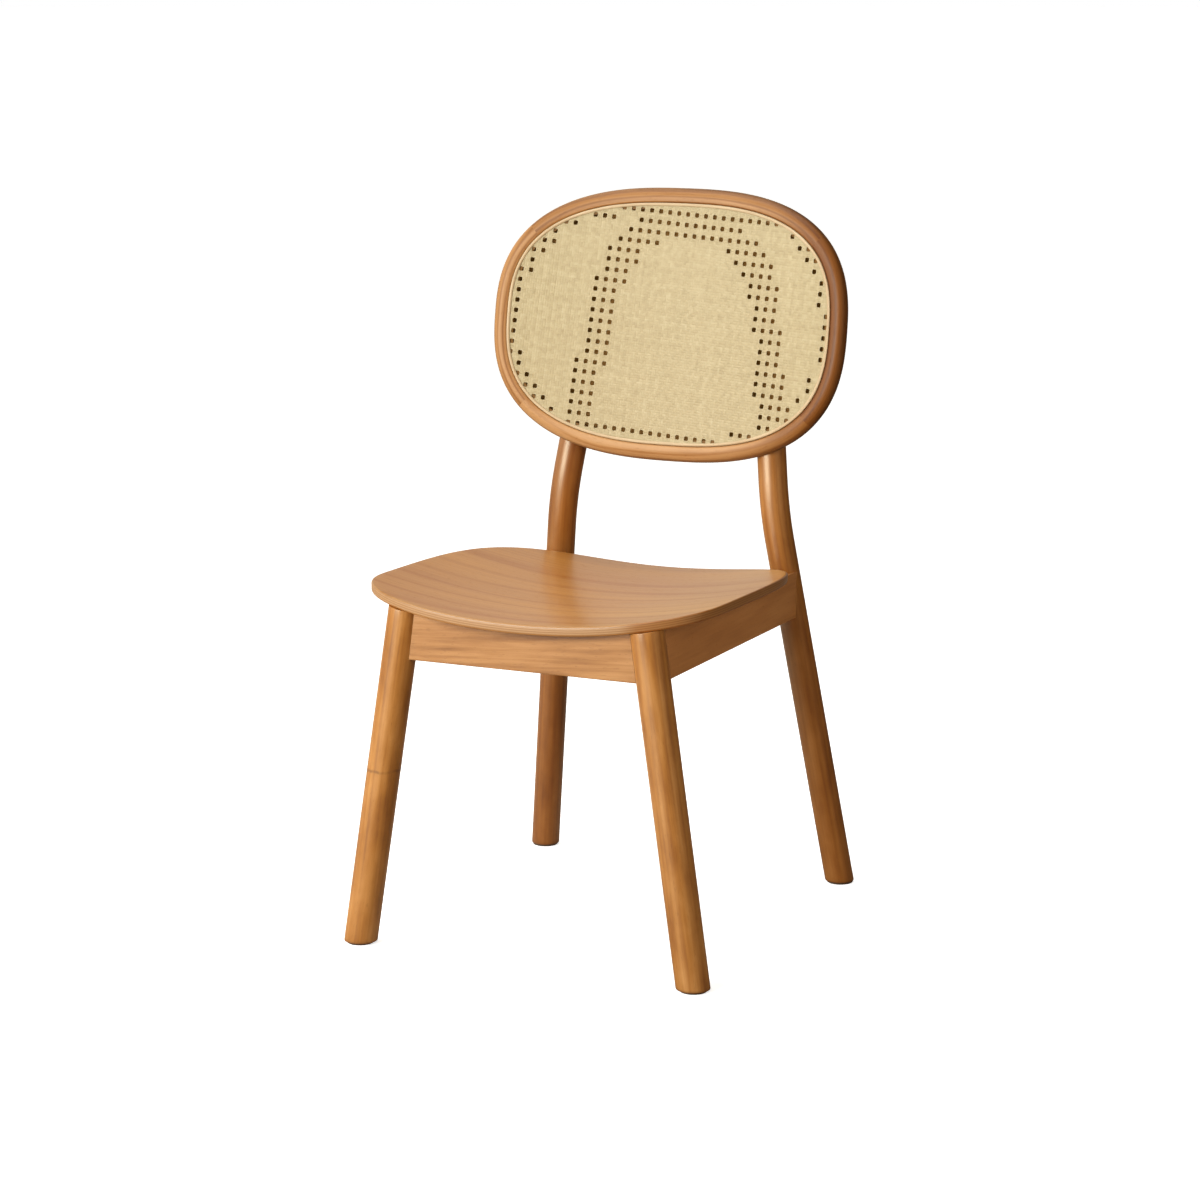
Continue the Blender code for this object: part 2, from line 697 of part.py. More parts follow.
def sweep_section(section, first, last, trim):
    """Bmesh of a section swept from one station to another, trimmed a little at both ends."""
    outline, normals = hoop_outline()
    count = len(outline)
    run = [index % count for index in range(first, last + 1 if last > first else last + count + 1)]
    centres = [outline[index] for index in run]
    ways = [normals[index] for index in run]
    for end, inner in ((0, 1), (-1, -2)):
        share = trim / np.linalg.norm(centres[inner] - centres[end])
        centres[end] = centres[end] + (centres[inner] - centres[end]) * share
        ways[end] = ways[end] + (ways[inner] - ways[end]) * share
    bm = bmesh.new()
    bridge_stack(bm, [section_at(section, centre, way) for centre, way in zip(centres, ways)])
    return bm


def outer_round(radius):
    """Half circle of a rail's outer side, from its front to its rear."""
    middle = RAIL_OUT - RAIL_FRONT
    turns = [math.pi / 2 - math.pi * step / RAIL_ROUND_STEPS for step in range(RAIL_ROUND_STEPS + 1)]
    return [(middle + radius * math.cos(turn), radius * math.sin(turn)) for turn in turns]


def rail_section():
    """Section of a rail: round outside, with a rear rebate, a land for the cane and a spline groove."""
    soft = RAIL_FACE_ROUND * (1 - math.sqrt(0.5))
    return outer_round(RAIL_FRONT) + [
        (GROOVE_INNER, -RAIL_FRONT),
        (GROOVE_INNER, REBATE_DEPTH - RAIL_FRONT),
        (RAIL_INNER, REBATE_DEPTH - RAIL_FRONT),
        (RAIL_INNER, RAIL_FRONT - LAND_DEPTH),
        (GROOVE_INNER, RAIL_FRONT - LAND_DEPTH),
        (GROOVE_INNER, RAIL_FRONT - GROOVE_DEPTH),
        (-RAIL_OUT, RAIL_FRONT - GROOVE_DEPTH),
        (-RAIL_OUT, RAIL_FRONT - RAIL_FACE_ROUND),
        (-RAIL_OUT + soft, RAIL_FRONT - soft),
        (-RAIL_OUT + RAIL_FACE_ROUND, RAIL_FRONT),
    ]


def make_hoop(back):
    """Four curved rails that meet at the corners, with a dowel across each joint."""
    stations = joint_stations()
    names = ("hoop_bottom", "hoop_right", "hoop_top", "hoop_left")
    rails = []
    for name, first, last in zip(names, stations, stations[1:] + stations[:1]):
        bm = sweep_section(rail_section(), first, last, FIT_GAP / 2)
        rails.append(add_piece(name, bm, HONEY_BEECH, back))
    outline, normals = hoop_outline()
    corners = ("bottom_left", "bottom_right", "top_right", "top_left")
    for index, (corner, station) in enumerate(zip(corners, stations)):
        middle = outline[station] + normals[station] * (RAIL_OUT + RAIL_INNER) / 2
        before = outline[station - 1]
        after = outline[(station + 1) % len(outline)]
        course = back_point(*after, 0) - back_point(*before, 0)
        start = back_point(*middle, 0) - course.normalized() * HOOP_DOWEL_LENGTH / 2
        rod = rod_mesh(start, course, HOOP_DOWEL_LENGTH, HOOP_DOWEL_RADIUS, DOWEL_SIDES)
        add_piece("hoop_dowel_" + corner, rod, RAW_BEECH, back)
        start -= course.normalized() * FIT_GAP
        room = HOOP_DOWEL_LENGTH + 2 * FIT_GAP
        rod = rod_mesh(start, course, room, HOOP_DOWEL_RADIUS + FIT_GAP, DOWEL_SIDES)
        hole = add_cutter("hoop_dowel_hole_" + corner, rod, back)
        add_boolean(rails[index - 1], hole)
        add_boolean(rails[index], hole)
    return dict(zip(names, rails))


def join_back_to_legs(back, rails, legs):
    """Notch the uprights round the lower rail, and dowel each to it."""
    grown = outer_round(RAIL_FRONT + FIT_GAP) + [
        (RAIL_INNER - FIT_GAP, -RAIL_FRONT - FIT_GAP),
        (RAIL_INNER - FIT_GAP, RAIL_FRONT + FIT_GAP),
    ]
    first, last = joint_stations()[:2]
    rail_space = add_cutter("rail_space", sweep_section(grown, first, last, 0), back)
    for side_name, side in SIDES.items():
        leg = legs["rear", side_name]
        add_boolean(leg, rail_space)
        across = upright_path(side)[-1].x
        rear_face = back_point(across, rail_up_at(across), -RAIL_FRONT)
        start = rear_face - Vector((0, BACK_DOWEL_LENGTH / 2, 0))
        rod = rod_mesh(start, (0, 1, 0), BACK_DOWEL_LENGTH, BACK_DOWEL_RADIUS, DOWEL_SIDES)
        add_piece("back_dowel_" + side_name, rod, RAW_BEECH, back)
        start.y -= FIT_GAP
        room = BACK_DOWEL_LENGTH + 2 * FIT_GAP
        rod = rod_mesh(start, (0, 1, 0), room, BACK_DOWEL_RADIUS + FIT_GAP, DOWEL_SIDES)
        hole = add_cutter("back_dowel_hole_" + side_name, rod, back)
        add_boolean(rails["hoop_bottom"], hole)
        add_boolean(leg, hole)


def make_backing(back):
    """Thin stained panel let into the hoop from behind."""
    outline, normals = hoop_outline()
    outline = outline + normals * (GROOVE_INNER - FIT_GAP)
    bm = bmesh.new()
    bridge_stack(bm, plate_loops(outline, BACKING_THICKNESS, 0))
    slice_across(bm, HOOP_HALF_WIDTH, PANEL_STRIP)
    rear = REBATE_DEPTH - RAIL_FRONT - FIT_GAP - BACKING_THICKNESS
    for vert in bm.verts:
        vert.co = back_point(vert.co.x, vert.co.y, rear + vert.co.z)
    bmesh.ops.triangulate(bm, faces=bm.faces)
    add_piece("backing_panel", bm, STAINED_PLY, back)


def make_spline(back):
    """Reed pressed into the groove to hold the cane, all the way round."""
    outline, normals = hoop_outline()
    outer = -RAIL_OUT - FIT_GAP
    inner = GROOVE_INNER + FIT_GAP
    floor = RAIL_FRONT - GROOVE_DEPTH + FIT_GAP
    section = [
        (outer, floor),
        (outer, RAIL_FRONT - SPLINE_CROWN),
        ((outer + inner) / 2, RAIL_FRONT + SPLINE_CROWN),
        (inner, RAIL_FRONT - SPLINE_CROWN),
        (inner, floor),
    ]
    bm = bmesh.new()
    bridge_stack(bm, [section_at(section, *pair) for pair in zip(outline, normals)], closed=True)
    add_piece("cane_spline", bm, PALE_REED, back)


# Cane

def cell_centre(column, row):
    """Middle of one cell of the weave, in the plane of the back."""
    turn = math.radians(CANE_TURN_DEGREES)
    across = column * CANE_PITCH_ACROSS
    up = row * CANE_PITCH_UP
    x = CANE_START_X + across * math.cos(turn) - up * math.sin(turn)
    return x, CANE_START_UP + across * math.sin(turn) + up * math.cos(turn)


def in_oval(place, inset_across, inset_up):
    """Whether a place lies inside the hoop's centre line, drawn in by an inset each way."""
    across = abs(place[0]) / (HOOP_HALF_WIDTH - inset_across)
    up = abs(place[1]) / (HOOP_HALF_HEIGHT - inset_up)
    return across ** HOOP_CURVE_POWER + up ** HOOP_CURVE_POWER <= 1


def in_arch(place, leg_inset, crown_inset):
    """Whether a place lies under the arch, which leans a little and spreads towards its feet."""
    turn = math.radians(ARCH_TURN_DEGREES)
    across = abs(place[0] * math.cos(turn) + place[1] * math.sin(turn) - ARCH_CENTRE_X)
    height = place[1] * math.cos(turn) - place[0] * math.sin(turn) - ARCH_FOOT_UP
    if height < 0:
        return False
    full = ARCH_CROWN_UP - ARCH_FOOT_UP
    spread = (ARCH_FOOT_HALF_WIDTH - ARCH_CROWN_HALF_WIDTH) * (1 - height / full)
    over = (across / (ARCH_CROWN_HALF_WIDTH - leg_inset + spread)) ** ARCH_CURVE_POWER
    return over + (height / (full - crown_inset)) ** ARCH_CURVE_POWER <= 1


def open_cells():
    """Cells of the weave that are left open: a ring inside the hoop and a band along the arch."""
    columns = math.ceil(HOOP_WIDTH / CANE_PITCH_ACROSS)
    rows = math.ceil(HOOP_HEIGHT / CANE_PITCH_UP)
    inside = set()
    for column in range(-columns, columns + 1):
        for row in range(-rows, rows + 1):
            if in_oval(cell_centre(column, row), RING_INSET, RING_INSET):
                inside.add((column, row))
    chosen = []
    for column, row in sorted(inside):
        place = cell_centre(column, row)
        on_ring = not in_oval(place, RING_REACH_ACROSS, RING_REACH_UP)
        on_arch = in_arch(place, 0, 0) and not in_arch(place, ARCH_LEG_BAND, ARCH_CROWN_BAND)
        if on_ring or on_arch:
            chosen.append((column, row))
    return chosen, inside


def eye_outline(place):
    """Outline of one open eye, turned with the weave."""
    turn = math.radians(CANE_TURN_DEGREES)
    points = []
    for corner in range(EYE_SIDES):
        angle = 2 * math.pi * (corner + 0.5) / EYE_SIDES
        across = EYE_WIDTH / 2 * math.cos(angle)
        up = EYE_HEIGHT / 2 * math.sin(angle)
        x = place[0] + across * math.cos(turn) - up * math.sin(turn)
        points.append((x, place[1] + across * math.sin(turn) + up * math.cos(turn)))
    return points


def make_cane(back):
    """Woven cane sheet with real open eyes: one triangulated face, given its thickness and bowed."""
    outline, normals = hoop_outline()
    points = [tuple(point) for point in outline + normals * GROOVE_INNER]
    loops = [list(range(len(points)))]
    chosen, inside = open_cells()
    for cell in chosen:
        loops.append(list(range(len(points), len(points) + EYE_SIDES)))
        points += eye_outline(cell_centre(*cell))
    plain = inside - set(chosen)
    points += [cell_centre(*cell) for cell in sorted(plain) if cell[0] % 2 == 0 and cell[1] % 3 == 0]
    edges = [(loop[index - 1], loop[index]) for loop in loops for index in range(len(loop))]
    flat = delaunay_2d_cdt([Vector(point) for point in points], edges, [], 1, FIT_GAP / 100)
    places, faces, sources = flat[0], flat[2], flat[3]
    loop_of = {}
    for number, loop in enumerate(loops[1:]):
        loop_of.update(dict.fromkeys(loop, number))
    rear = RAIL_FRONT - LAND_DEPTH + FIT_GAP
    bm = bmesh.new()
    behind = [bm.verts.new(back_point(*place, rear)) for place in places]
    before = [bm.verts.new(back_point(*place, rear + CANE_THICKNESS)) for place in places]
    used = {}
    for face in faces:
        owners = {loop_of.get(sources[vert][0]) for vert in face}
        if len(owners) == 1 and None not in owners:
            continue
        bm.faces.new([before[vert] for vert in face])
        bm.faces.new([behind[vert] for vert in reversed(face)])
        for index in range(len(face)):
            pair = (face[index - 1], face[index])
            used[pair] = used.get(pair, 0) + 1
    for first, second in used:
        if (second, first) not in used:
            bm.faces.new((before[second], before[first], behind[first], behind[second]))
    loose = [vert for vert in bm.verts if not vert.link_faces]
    bmesh.ops.delete(bm, geom=loose, context="VERTS")
    add_piece("cane_panel", bm, NATURAL_CANE, back)


def build_chair():
    """Make every piece, then the joints between them."""
    clear_scene()
    seat = make_seat()
    seat_space = make_seat_space()
    legs = make_legs()
    leg_spaces = make_leg_spaces()
    for side_name in SIDES:
        add_boolean(legs["front", side_name], seat_space)
    aprons = make_aprons(legs, leg_spaces, seat_space)
    for end, side_name in legs:
        make_corner(end, side_name, seat, aprons, leg_spaces[end, side_name], seat_space)
    make_glides(legs)
    back = make_back_frame()
    rails = make_hoop(back)
    join_back_to_legs(back, rails, legs)
    make_backing(back)
    make_cane(back)
    make_spline(back)


build_chair()
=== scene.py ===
"""Cane back chair in its studio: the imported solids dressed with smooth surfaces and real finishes.

Metres, +Z up, the sitter faces -Y. The sections follow the chair as it is put together: front legs,
rear legs, aprons, corner blocks, glides, seat, hoop, backing, cane, spline, and then the studio.
"""

import math

import bpy
import numpy as np
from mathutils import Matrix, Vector


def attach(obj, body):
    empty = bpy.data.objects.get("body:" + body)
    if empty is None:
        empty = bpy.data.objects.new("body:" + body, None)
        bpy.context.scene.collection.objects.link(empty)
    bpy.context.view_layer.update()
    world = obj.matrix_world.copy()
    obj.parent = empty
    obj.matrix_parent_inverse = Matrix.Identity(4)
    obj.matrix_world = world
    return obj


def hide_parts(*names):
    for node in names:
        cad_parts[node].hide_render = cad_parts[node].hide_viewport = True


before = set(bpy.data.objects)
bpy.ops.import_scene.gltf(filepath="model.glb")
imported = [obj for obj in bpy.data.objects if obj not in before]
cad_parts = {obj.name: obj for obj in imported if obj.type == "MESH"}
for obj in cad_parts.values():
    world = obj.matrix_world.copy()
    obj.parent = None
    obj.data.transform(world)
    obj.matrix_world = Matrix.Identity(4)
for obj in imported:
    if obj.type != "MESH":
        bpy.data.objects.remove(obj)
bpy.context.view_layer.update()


# Front legs. Two turned beech bars, splayed sideways and a little forward, stained honey and lacquered
# satin. Each foot is sawn flat for its glide, and each top follows the underside of the seat.

FRONT_LEG_RADIUS = 0.0210
FRONT_FOOT = (0.2292, -0.2530)
FRONT_HEAD = (0.1631, -0.2450)
FRONT_HEAD_ROUND = 0.0006
FRONT_GRID = (40, 72)
SEAT_HEIGHT = 0.4342
SEAT_FRONT = -0.2754
SEAT_DISH_RADIUS = 0.987
SEAT_FALL = math.radians(0.73)
SEAT_THICKNESS = 0.0120
FIT_GAP = 0.0003
SEAT_DROP = SEAT_THICKNESS + FIT_GAP
FOOT_CUT_HEIGHT = 0.0027
FOOT_EDGE_ROUND = 0.0010
CUT_REACH = 0.08
CUT_PASSES = 3
ARC_STEPS = 6
SCAR_HEIGHT = 0.2280
SCAR_WOBBLE = 0.010
SCAR_EDGE = (0.0003, 0.0030)
SCAR_PATCHES = (0.35, 0.6, 0.25, 0.65)
FOOT_DARKENING = 0.75
FOOT_DARKENING_HEIGHTS = (0.0030, 0.0065)
LOWER_SHADE_HEIGHTS = (0.34, 0.44)
HONEY_TONES = ((0.235, 0.077, 0.012), (0.372, 0.143, 0.024), (0.500, 0.226, 0.058))
FAIR_TONES = ((0.260, 0.088, 0.016), (0.392, 0.157, 0.032), (0.528, 0.250, 0.074))
PORE_BROWN = (0.150, 0.048, 0.010)
WARM_SHEEN = (1.0, 0.95, 0.70)
WHITE = (1.0, 1.0, 1.0)

# Grain of the timber. A scale counts the waves in a metre, across, across and along the grain.
WANDER_SCALE = (26.0, 26.0, 2.6)
FIBRE_SCALE = (950.0, 950.0, 26.0)
FLECK_SCALE = (620.0, 620.0, 120.0)
SCAR_WOBBLE_SCALE = (60.0, 60.0, 8.0)
SCAR_PATCH_SCALE = (140.0, 140.0, 10.0)
FRONT_GRAIN_SHIFT = np.array([0.31, 0.17, 0.9])
FLECK_LEVELS = (0.64, 0.74)
RING_WANDER = 0.022
STREAK_SHARE = 0.42
DRIFT_SHARE = 0.55
FIBRE_SHARE = 0.12
MID_TONE = 0.51
LACQUER_RELIEF = 0.45


class Reading:
    """A value read from a node's socket; arithmetic with it adds the Math nodes it stands for."""

    def __init__(self, finish, socket):
        self.finish = finish
        self.socket = socket

    def maths(self, operation, *values):
        """Add one Math node on these values, in this order."""
        return self.finish.node("ShaderNodeMath", {"operation": operation}, dict(enumerate(values)))

    def __add__(self, other):
        return self.maths("ADD", self, other)

    def __radd__(self, other):
        return self.maths("ADD", other, self)

    def __sub__(self, other):
        return self.maths("SUBTRACT", self, other)

    def __rsub__(self, other):
        return self.maths("SUBTRACT", other, self)

    def __mul__(self, other):
        return self.maths("MULTIPLY", self, other)

    def __rmul__(self, other):
        return self.maths("MULTIPLY", other, self)

    def __pow__(self, other):
        return self.maths("POWER", self, other)

    def __rpow__(self, other):
        return self.maths("POWER", other, self)

    def __abs__(self):
        return self.maths("ABSOLUTE", self)

    def sine(self):
        """Sine of the value, taken as an angle in radians."""
        return self.maths("SINE", self)


class Finish:
    """One finish as it is mixed: its nodes and the shader that they feed."""

    def __init__(self, name, kind="materials", shader="Principled BSDF"):
        self.material = getattr(bpy.data, kind).new(name)
        self.material.use_nodes = True
        self.tree = self.material.node_tree
        self.shader = self.tree.nodes[shader]

    def feed(self, node, values):
        """Set or link each named socket of a node. A colour is given as red, green and blue."""
        for key, value in values.items():
            socket = node.inputs[key]
            if isinstance(value, Reading):
                self.tree.links.new(value.socket, socket)
            else:
                socket.default_value = (*value, 1.0) if socket.type == "RGBA" else value

    def show(self, values):
        """Set or link sockets of the finish's own shader."""
        self.feed(self.shader, values)

    def node(self, kind, settings=None, values=None, out=0):
        """Add a node with its settings first, then its sockets, and give back one of its outputs."""
        node = self.tree.nodes.new(kind)
        for key, value in (settings or {}).items():
            setattr(node, key, value)
        self.feed(node, values or {})
        return Reading(self, node.outputs[out])

    def place(self):
        """Where a point lies on the chair, in metres."""
        return self.node("ShaderNodeTexCoord", out=3)

    def reading(self, name, out=1):
        """What the mesh keeps under a name: a vector from output 1, or a number from output 2. The grain
        is where a point lies in its own timber: across, across and along it, in metres."""
        return self.node("ShaderNodeAttribute", {"attribute_name": name}, out=out)

    def component(self, vector, number):
        """One of a vector's three numbers, counted from 0."""
        return self.node("ShaderNodeSeparateXYZ", None, {"Vector": vector}, out=number)

    def stretched(self, place, scale, shift=(0.0, 0.0, 0.0), turn=(0.0, 0.0, 0.0)):
        """A place turned, scaled and shifted by a Mapping node."""
        values = {"Vector": place, "Scale": scale, "Location": shift, "Rotation": turn}
        return self.node("ShaderNodeMapping", None, values)

    def noise(self, place, scale, detail=2.0, roughness=0.5):
        """Soft noise from 0 to 1 in a place stretched by a scale for each way."""
        place = self.stretched(place, scale)
        values = {"Vector": place, "Scale": 1.0, "Detail": detail, "Roughness": roughness}
        return self.node("ShaderNodeTexNoise", None, values)

    def between(self, value, low, high, first=0.0, last=1.0):
        """Smooth step from first to last as a value goes from low to high."""
        settings = {"interpolation_type": "SMOOTHSTEP"}
        values = {"Value": value, "From Min": low, "From Max": high, "To Min": first, "To Max": last}
        return self.node("ShaderNodeMapRange", settings, values)

    def blend(self, share, first, second, blend_type="MIX"):
        """Mix two colours by a share of the second."""
        settings = {"data_type": "RGBA", "blend_type": blend_type}
        return self.node("ShaderNodeMix", settings, {0: share, 6: first, 7: second}, out=2)

    def shaded(self, share, colour, shade):
        """A colour times a shade, by a share."""
        return self.blend(share, colour, shade, blend_type="MULTIPLY")

    def ramp(self, share, places, tones):
        """Colour of a share, which passes through the tones at their places from 0 to 1."""
        colour = self.node("ShaderNodeValToRGB", None, {"Fac": share})
        stops = colour.socket.node.color_ramp.elements
        while len(stops) < len(tones):
            stops.new(1.0)
        for stop, position, tone in zip(stops, places, tones):
            stop.position = position
            stop.color = (*tone, 1.0)
        return colour

    def surface(self, colour, roughness, height, strength, depth):
        """Show a colour, a roughness, and a height as relief of a strength and of a depth in metres."""
        values = {"Strength": strength, "Distance": depth, "Height": height}
        relief = self.node("ShaderNodeBump", None, values)
        self.show({"Base Color": colour, "Roughness": roughness, "Normal": relief})


def timber_colour(
    finish, grain, tones, pore, ring_width=0.0042, pith=(0.05, -0.09), flecked=0.20, figure=0.05,
    spread=0.22, sharpness=3.0, patches=(14.0, 14.0, 2.2), streaks=(190.0, 190.0, 4.0),
):
    """Colour of beech from its dark, middle and light tones, and its fibre, fleck and drift readings.
    Growth rings are sines of the distance from an off-centre pith; drift, streaks, fibres and short
    dark ray flecks are noise stretched along the grain. A smaller spread makes the streaks stronger."""
    drift = finish.noise(grain, patches, detail=3.0)
    wander = finish.noise(grain, WANDER_SCALE, detail=3.0)
    streak = finish.noise(grain, streaks, detail=4.0, roughness=0.6)
    fibre = finish.noise(grain, FIBRE_SCALE, detail=3.0, roughness=0.65)
    fleck = finish.noise(grain, FLECK_SCALE, detail=1.0)
    from_pith = finish.stretched(grain, (1.0, 1.0, 0.0), shift=(-pith[0], -pith[1], 0.0))
    radius = finish.node("ShaderNodeVectorMath", {"operation": "LENGTH"}, {0: from_pith}, out=1)
    turns = (radius + wander * RING_WANDER) * (2 * math.pi / ring_width)
    ring = turns.sine() * 0.5 + 0.5
    late_wood = ring ** sharpness
    tone = streak * STREAK_SHARE + drift * DRIFT_SHARE + fibre * FIBRE_SHARE - late_wood * figure
    colour = finish.ramp(tone, (MID_TONE - spread, MID_TONE, MID_TONE + spread * 1.15), tones)
    specks = finish.between(fleck, *FLECK_LEVELS)
    colour = finish.blend(specks * flecked, colour, pore)
    return colour, (fibre, specks, drift)


def lacquer(
    finish, colour, wood, roughness=0.38, depth=0.00006, coat=0.20, gloss=0.45, coat_roughness=0.24,
    sheen=WHITE,
):
    """Satin lacquer over timber: the fibres stand up and the flecks sink in slight relief, and fibres,
    flecks and drift each roughen it a little."""
    fibre, specks, drift = wood
    rough = roughness + (fibre - 0.5) * 0.16 + (drift - 0.5) * 0.10 + specks * 0.10
    finish.surface(colour, rough, fibre * 0.6 - specks * 0.8, LACQUER_RELIEF, depth)
    finish.show({"Coat Weight": coat, "Coat Roughness": coat_roughness})
    finish.show({"Specular IOR Level": gloss, "Specular Tint": sheen})


def seat_top(x, y):
    """Height of the seat's face: height + x squared / (2 x dish radius) - tan(fall) x way from the front."""
    return SEAT_HEIGHT + x * x / (2 * SEAT_DISH_RADIUS) - math.tan(SEAT_FALL) * (y - SEAT_FRONT)


def circle(first, last, steps):
    """Cosines and sines of even turns from first to last."""
    turns = np.linspace(first, last, steps)
    return np.column_stack([np.cos(turns), np.sin(turns)])


def spaced(length, soft_low, soft_high, count):
    """Distances along a bar: through each softened end in the steps of a quarter circle, even between."""
    rise = 1 - circle(0, math.pi / 2, ARC_STEPS)[:, 0]
    middle = np.linspace(soft_low, length - soft_high, count)
    return np.concatenate([rise[:-1] * soft_low, middle, length - (rise * soft_high)[::-1][1:]])


def way_along(path):
    """How far along a line of points each of them is: the sum of the steps before it."""
    steps = np.linalg.norm(np.diff(path, axis=0), axis=1)
    return np.concatenate([[0.0], np.cumsum(steps)])


def along_path(path, distances):
    """Points at given distances along a line of points, straight between them."""
    return np.column_stack([np.interp(distances, way_along(path), column) for column in path.T])


def unit(courses):
    """Courses, each divided by its own length."""
    return courses / np.linalg.norm(courses, axis=-1, keepdims=True)


def round_bar(path, distances, radius, soft_low, soft_high, sides):
    """Rings of a round bar: path(t) + r(t) (cos a u + sin a v), with u and v square to the path and r
    drawn in over a quarter circle at each softened end. Also gives the course and the grain's place."""
    course = unit(np.gradient(path, distances, axis=0))
    aside = unit(np.array([1.0, 0.0, 0.0]) - course[:, :1] * course)
    other = np.cross(course, aside)
    low = soft_low - np.minimum(distances, soft_low)
    high = soft_high - np.minimum(distances[-1] - distances, soft_high)
    inset = soft_low - np.sqrt(soft_low ** 2 - low ** 2) + soft_high - np.sqrt(soft_high ** 2 - high ** 2)
    reach = (radius - inset)[:, None]
    turns = np.linspace(0, 2 * math.pi, sides, endpoint=False)[None, :]
    cosine = reach * np.cos(turns)
    sine = reach * np.sin(turns)
    rings = path[:, None] + cosine[..., None] * aside[:, None] + sine[..., None] * other[:, None]
    grain = np.stack([cosine, sine, np.broadcast_to(distances[:, None], cosine.shape)], axis=-1)
    return rings, course, grain


def slide_to(rings, course, share, height):
    """Slide ring points along the bar by a share of their distance to a height, to cut an end to it."""
    move = share[:, None] * (height - rings[..., 2]) / course[:, 2:3]
    return rings + move[..., None] * course[:, None]


def placed(name, data):
    """An object that shows this data in the scene."""
    thing = bpy.data.objects.new(name, data)
    bpy.context.scene.collection.objects.link(thing)
    return thing


def closed_mesh(name, points, quads, ends, readings, sharp_degrees):
    """Mesh of four-sided faces with triangles at its ends. The sum of a . (b x c) over all triangles is
    six times the volume inside, and where it is below zero the faces are turned to point out."""
    triangles = np.concatenate([quads[:, [0, 1, 2]], quads[:, [0, 2, 3]], ends])
    a, b, c = (points[triangles[:, corner]] for corner in range(3))
    if (a * np.cross(b, c)).sum() < 0:
        quads, ends = quads[:, ::-1], ends[:, ::-1]
    mesh = bpy.data.meshes.new(name)
    mesh.from_pydata(points.tolist(), [], quads.tolist() + ends.tolist())
    for key, value in readings.items():
        kind, field = ("FLOAT_VECTOR", "vector") if value.shape[1] == 3 else ("FLOAT", "value")
        attribute = mesh.attributes.new(key, kind, "POINT")
        attribute.data.foreach_set(field, value.ravel())
    mesh.shade_smooth()
    mesh.set_sharp_from_angle(angle=math.radians(sharp_degrees))
    return placed(name, mesh)


def skin(name, rings, readings, closed=False, sharp_degrees=38.0):
    """Mesh through rings of points: four-sided faces join ring to ring, and triangles to the middle
    close both ends, unless the rings close on themselves."""
    count, sides = rings.shape[:2]
    points = rings.reshape(-1, 3)
    number = np.arange(count * sides).reshape(count, sides)
    beside = np.roll(number, -1, axis=1)
    upper, upper_beside = np.roll(number, -1, axis=0), np.roll(beside, -1, axis=0)
    quads = np.stack([number, beside, upper_beside, upper], axis=-1)
    quads = (quads if closed else quads[:-1]).reshape(-1, 4)
    ends = np.zeros((0, 3), int)
    values = {key: value.reshape(count * sides, -1) for key, value in readings.items()}
    if not closed:
        first = np.stack([np.full(sides, len(points)), beside[0], number[0]], axis=-1)
        last = np.stack([np.full(sides, len(points) + 1), number[-1], beside[-1]], axis=-1)
        ends = np.concatenate([first, last])
        points = np.concatenate([points, rings[:1].mean(axis=1), rings[-1:].mean(axis=1)])
        for key, value in readings.items():
            middles = value[[0, -1]].reshape(2, sides, -1).mean(axis=1)
            values[key] = np.concatenate([values[key], middles])
    return closed_mesh(name, points, quads, ends, values, sharp_degrees)


def fit(piece, finish, slot, *nodes):
    """Finish a piece and let it ride with the chair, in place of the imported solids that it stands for."""
    piece.data.materials.append(finish.material)
    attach(piece, "root")
    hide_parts(*nodes)


def leg_rings(line, radius, top_round, grid):
    """Rings of a leg round its centre line, on a grid of stations and sides, slid along it near the foot
    until the foot is cut level. Also gives the path, the distances, the course and the grain's place."""
    distances = spaced(way_along(line)[-1], FOOT_EDGE_ROUND, top_round, grid[0])
    path = along_path(line, distances)
    rings, course, grain = round_bar(path, distances, radius, FOOT_EDGE_ROUND, top_round, grid[1])
    near_foot = np.clip(1 - distances / CUT_REACH, 0, 1) ** 2
    return slide_to(rings, course, near_foot, path[:, 2:3]), path, distances, course, grain


def leg_finish(name, tones, scar_height=None, lower_shade=None):
    """Honey-stained beech of a leg, darker at the sawn foot. Where they are given, a thin bark scar runs
    across the grain, and painted shade darkens the leg below the seat, where the seat's shadow falls."""
    finish = Finish(name)
    grain = finish.reading("grain")
    colour, wood = timber_colour(
        finish, grain, tones, PORE_BROWN, ring_width=0.0085, figure=0.07, spread=0.17,
        patches=(42.0, 42.0, 15.0),
    )
    height = finish.component(finish.place(), 2)
    foot = finish.between(height, *FOOT_DARKENING_HEIGHTS, FOOT_DARKENING, 0.0)
    colour = finish.blend(foot, colour, PORE_BROWN)
    if scar_height:
        wobble = finish.noise(grain, SCAR_WOBBLE_SCALE) * SCAR_WOBBLE
        from_line = abs(height + wobble - SCAR_WOBBLE / 2 - scar_height)
        patchy = finish.between(finish.noise(grain, SCAR_PATCH_SCALE), *SCAR_PATCHES)
        scar = finish.between(from_line, *SCAR_EDGE, 1.0, 0.0)
        colour = finish.blend(scar * patchy, colour, PORE_BROWN)
    # Painted shade: below the seat the leg is darker, where the seat's shadow falls.
    if lower_shade:
        colour = finish.shaded(finish.between(height, *LOWER_SHADE_HEIGHTS, 1.0, 0.0), colour, lower_shade)
    lacquer(finish, colour, wood, coat=0.30, gloss=0.90, coat_roughness=0.36, sheen=WARM_SHEEN)
    return finish


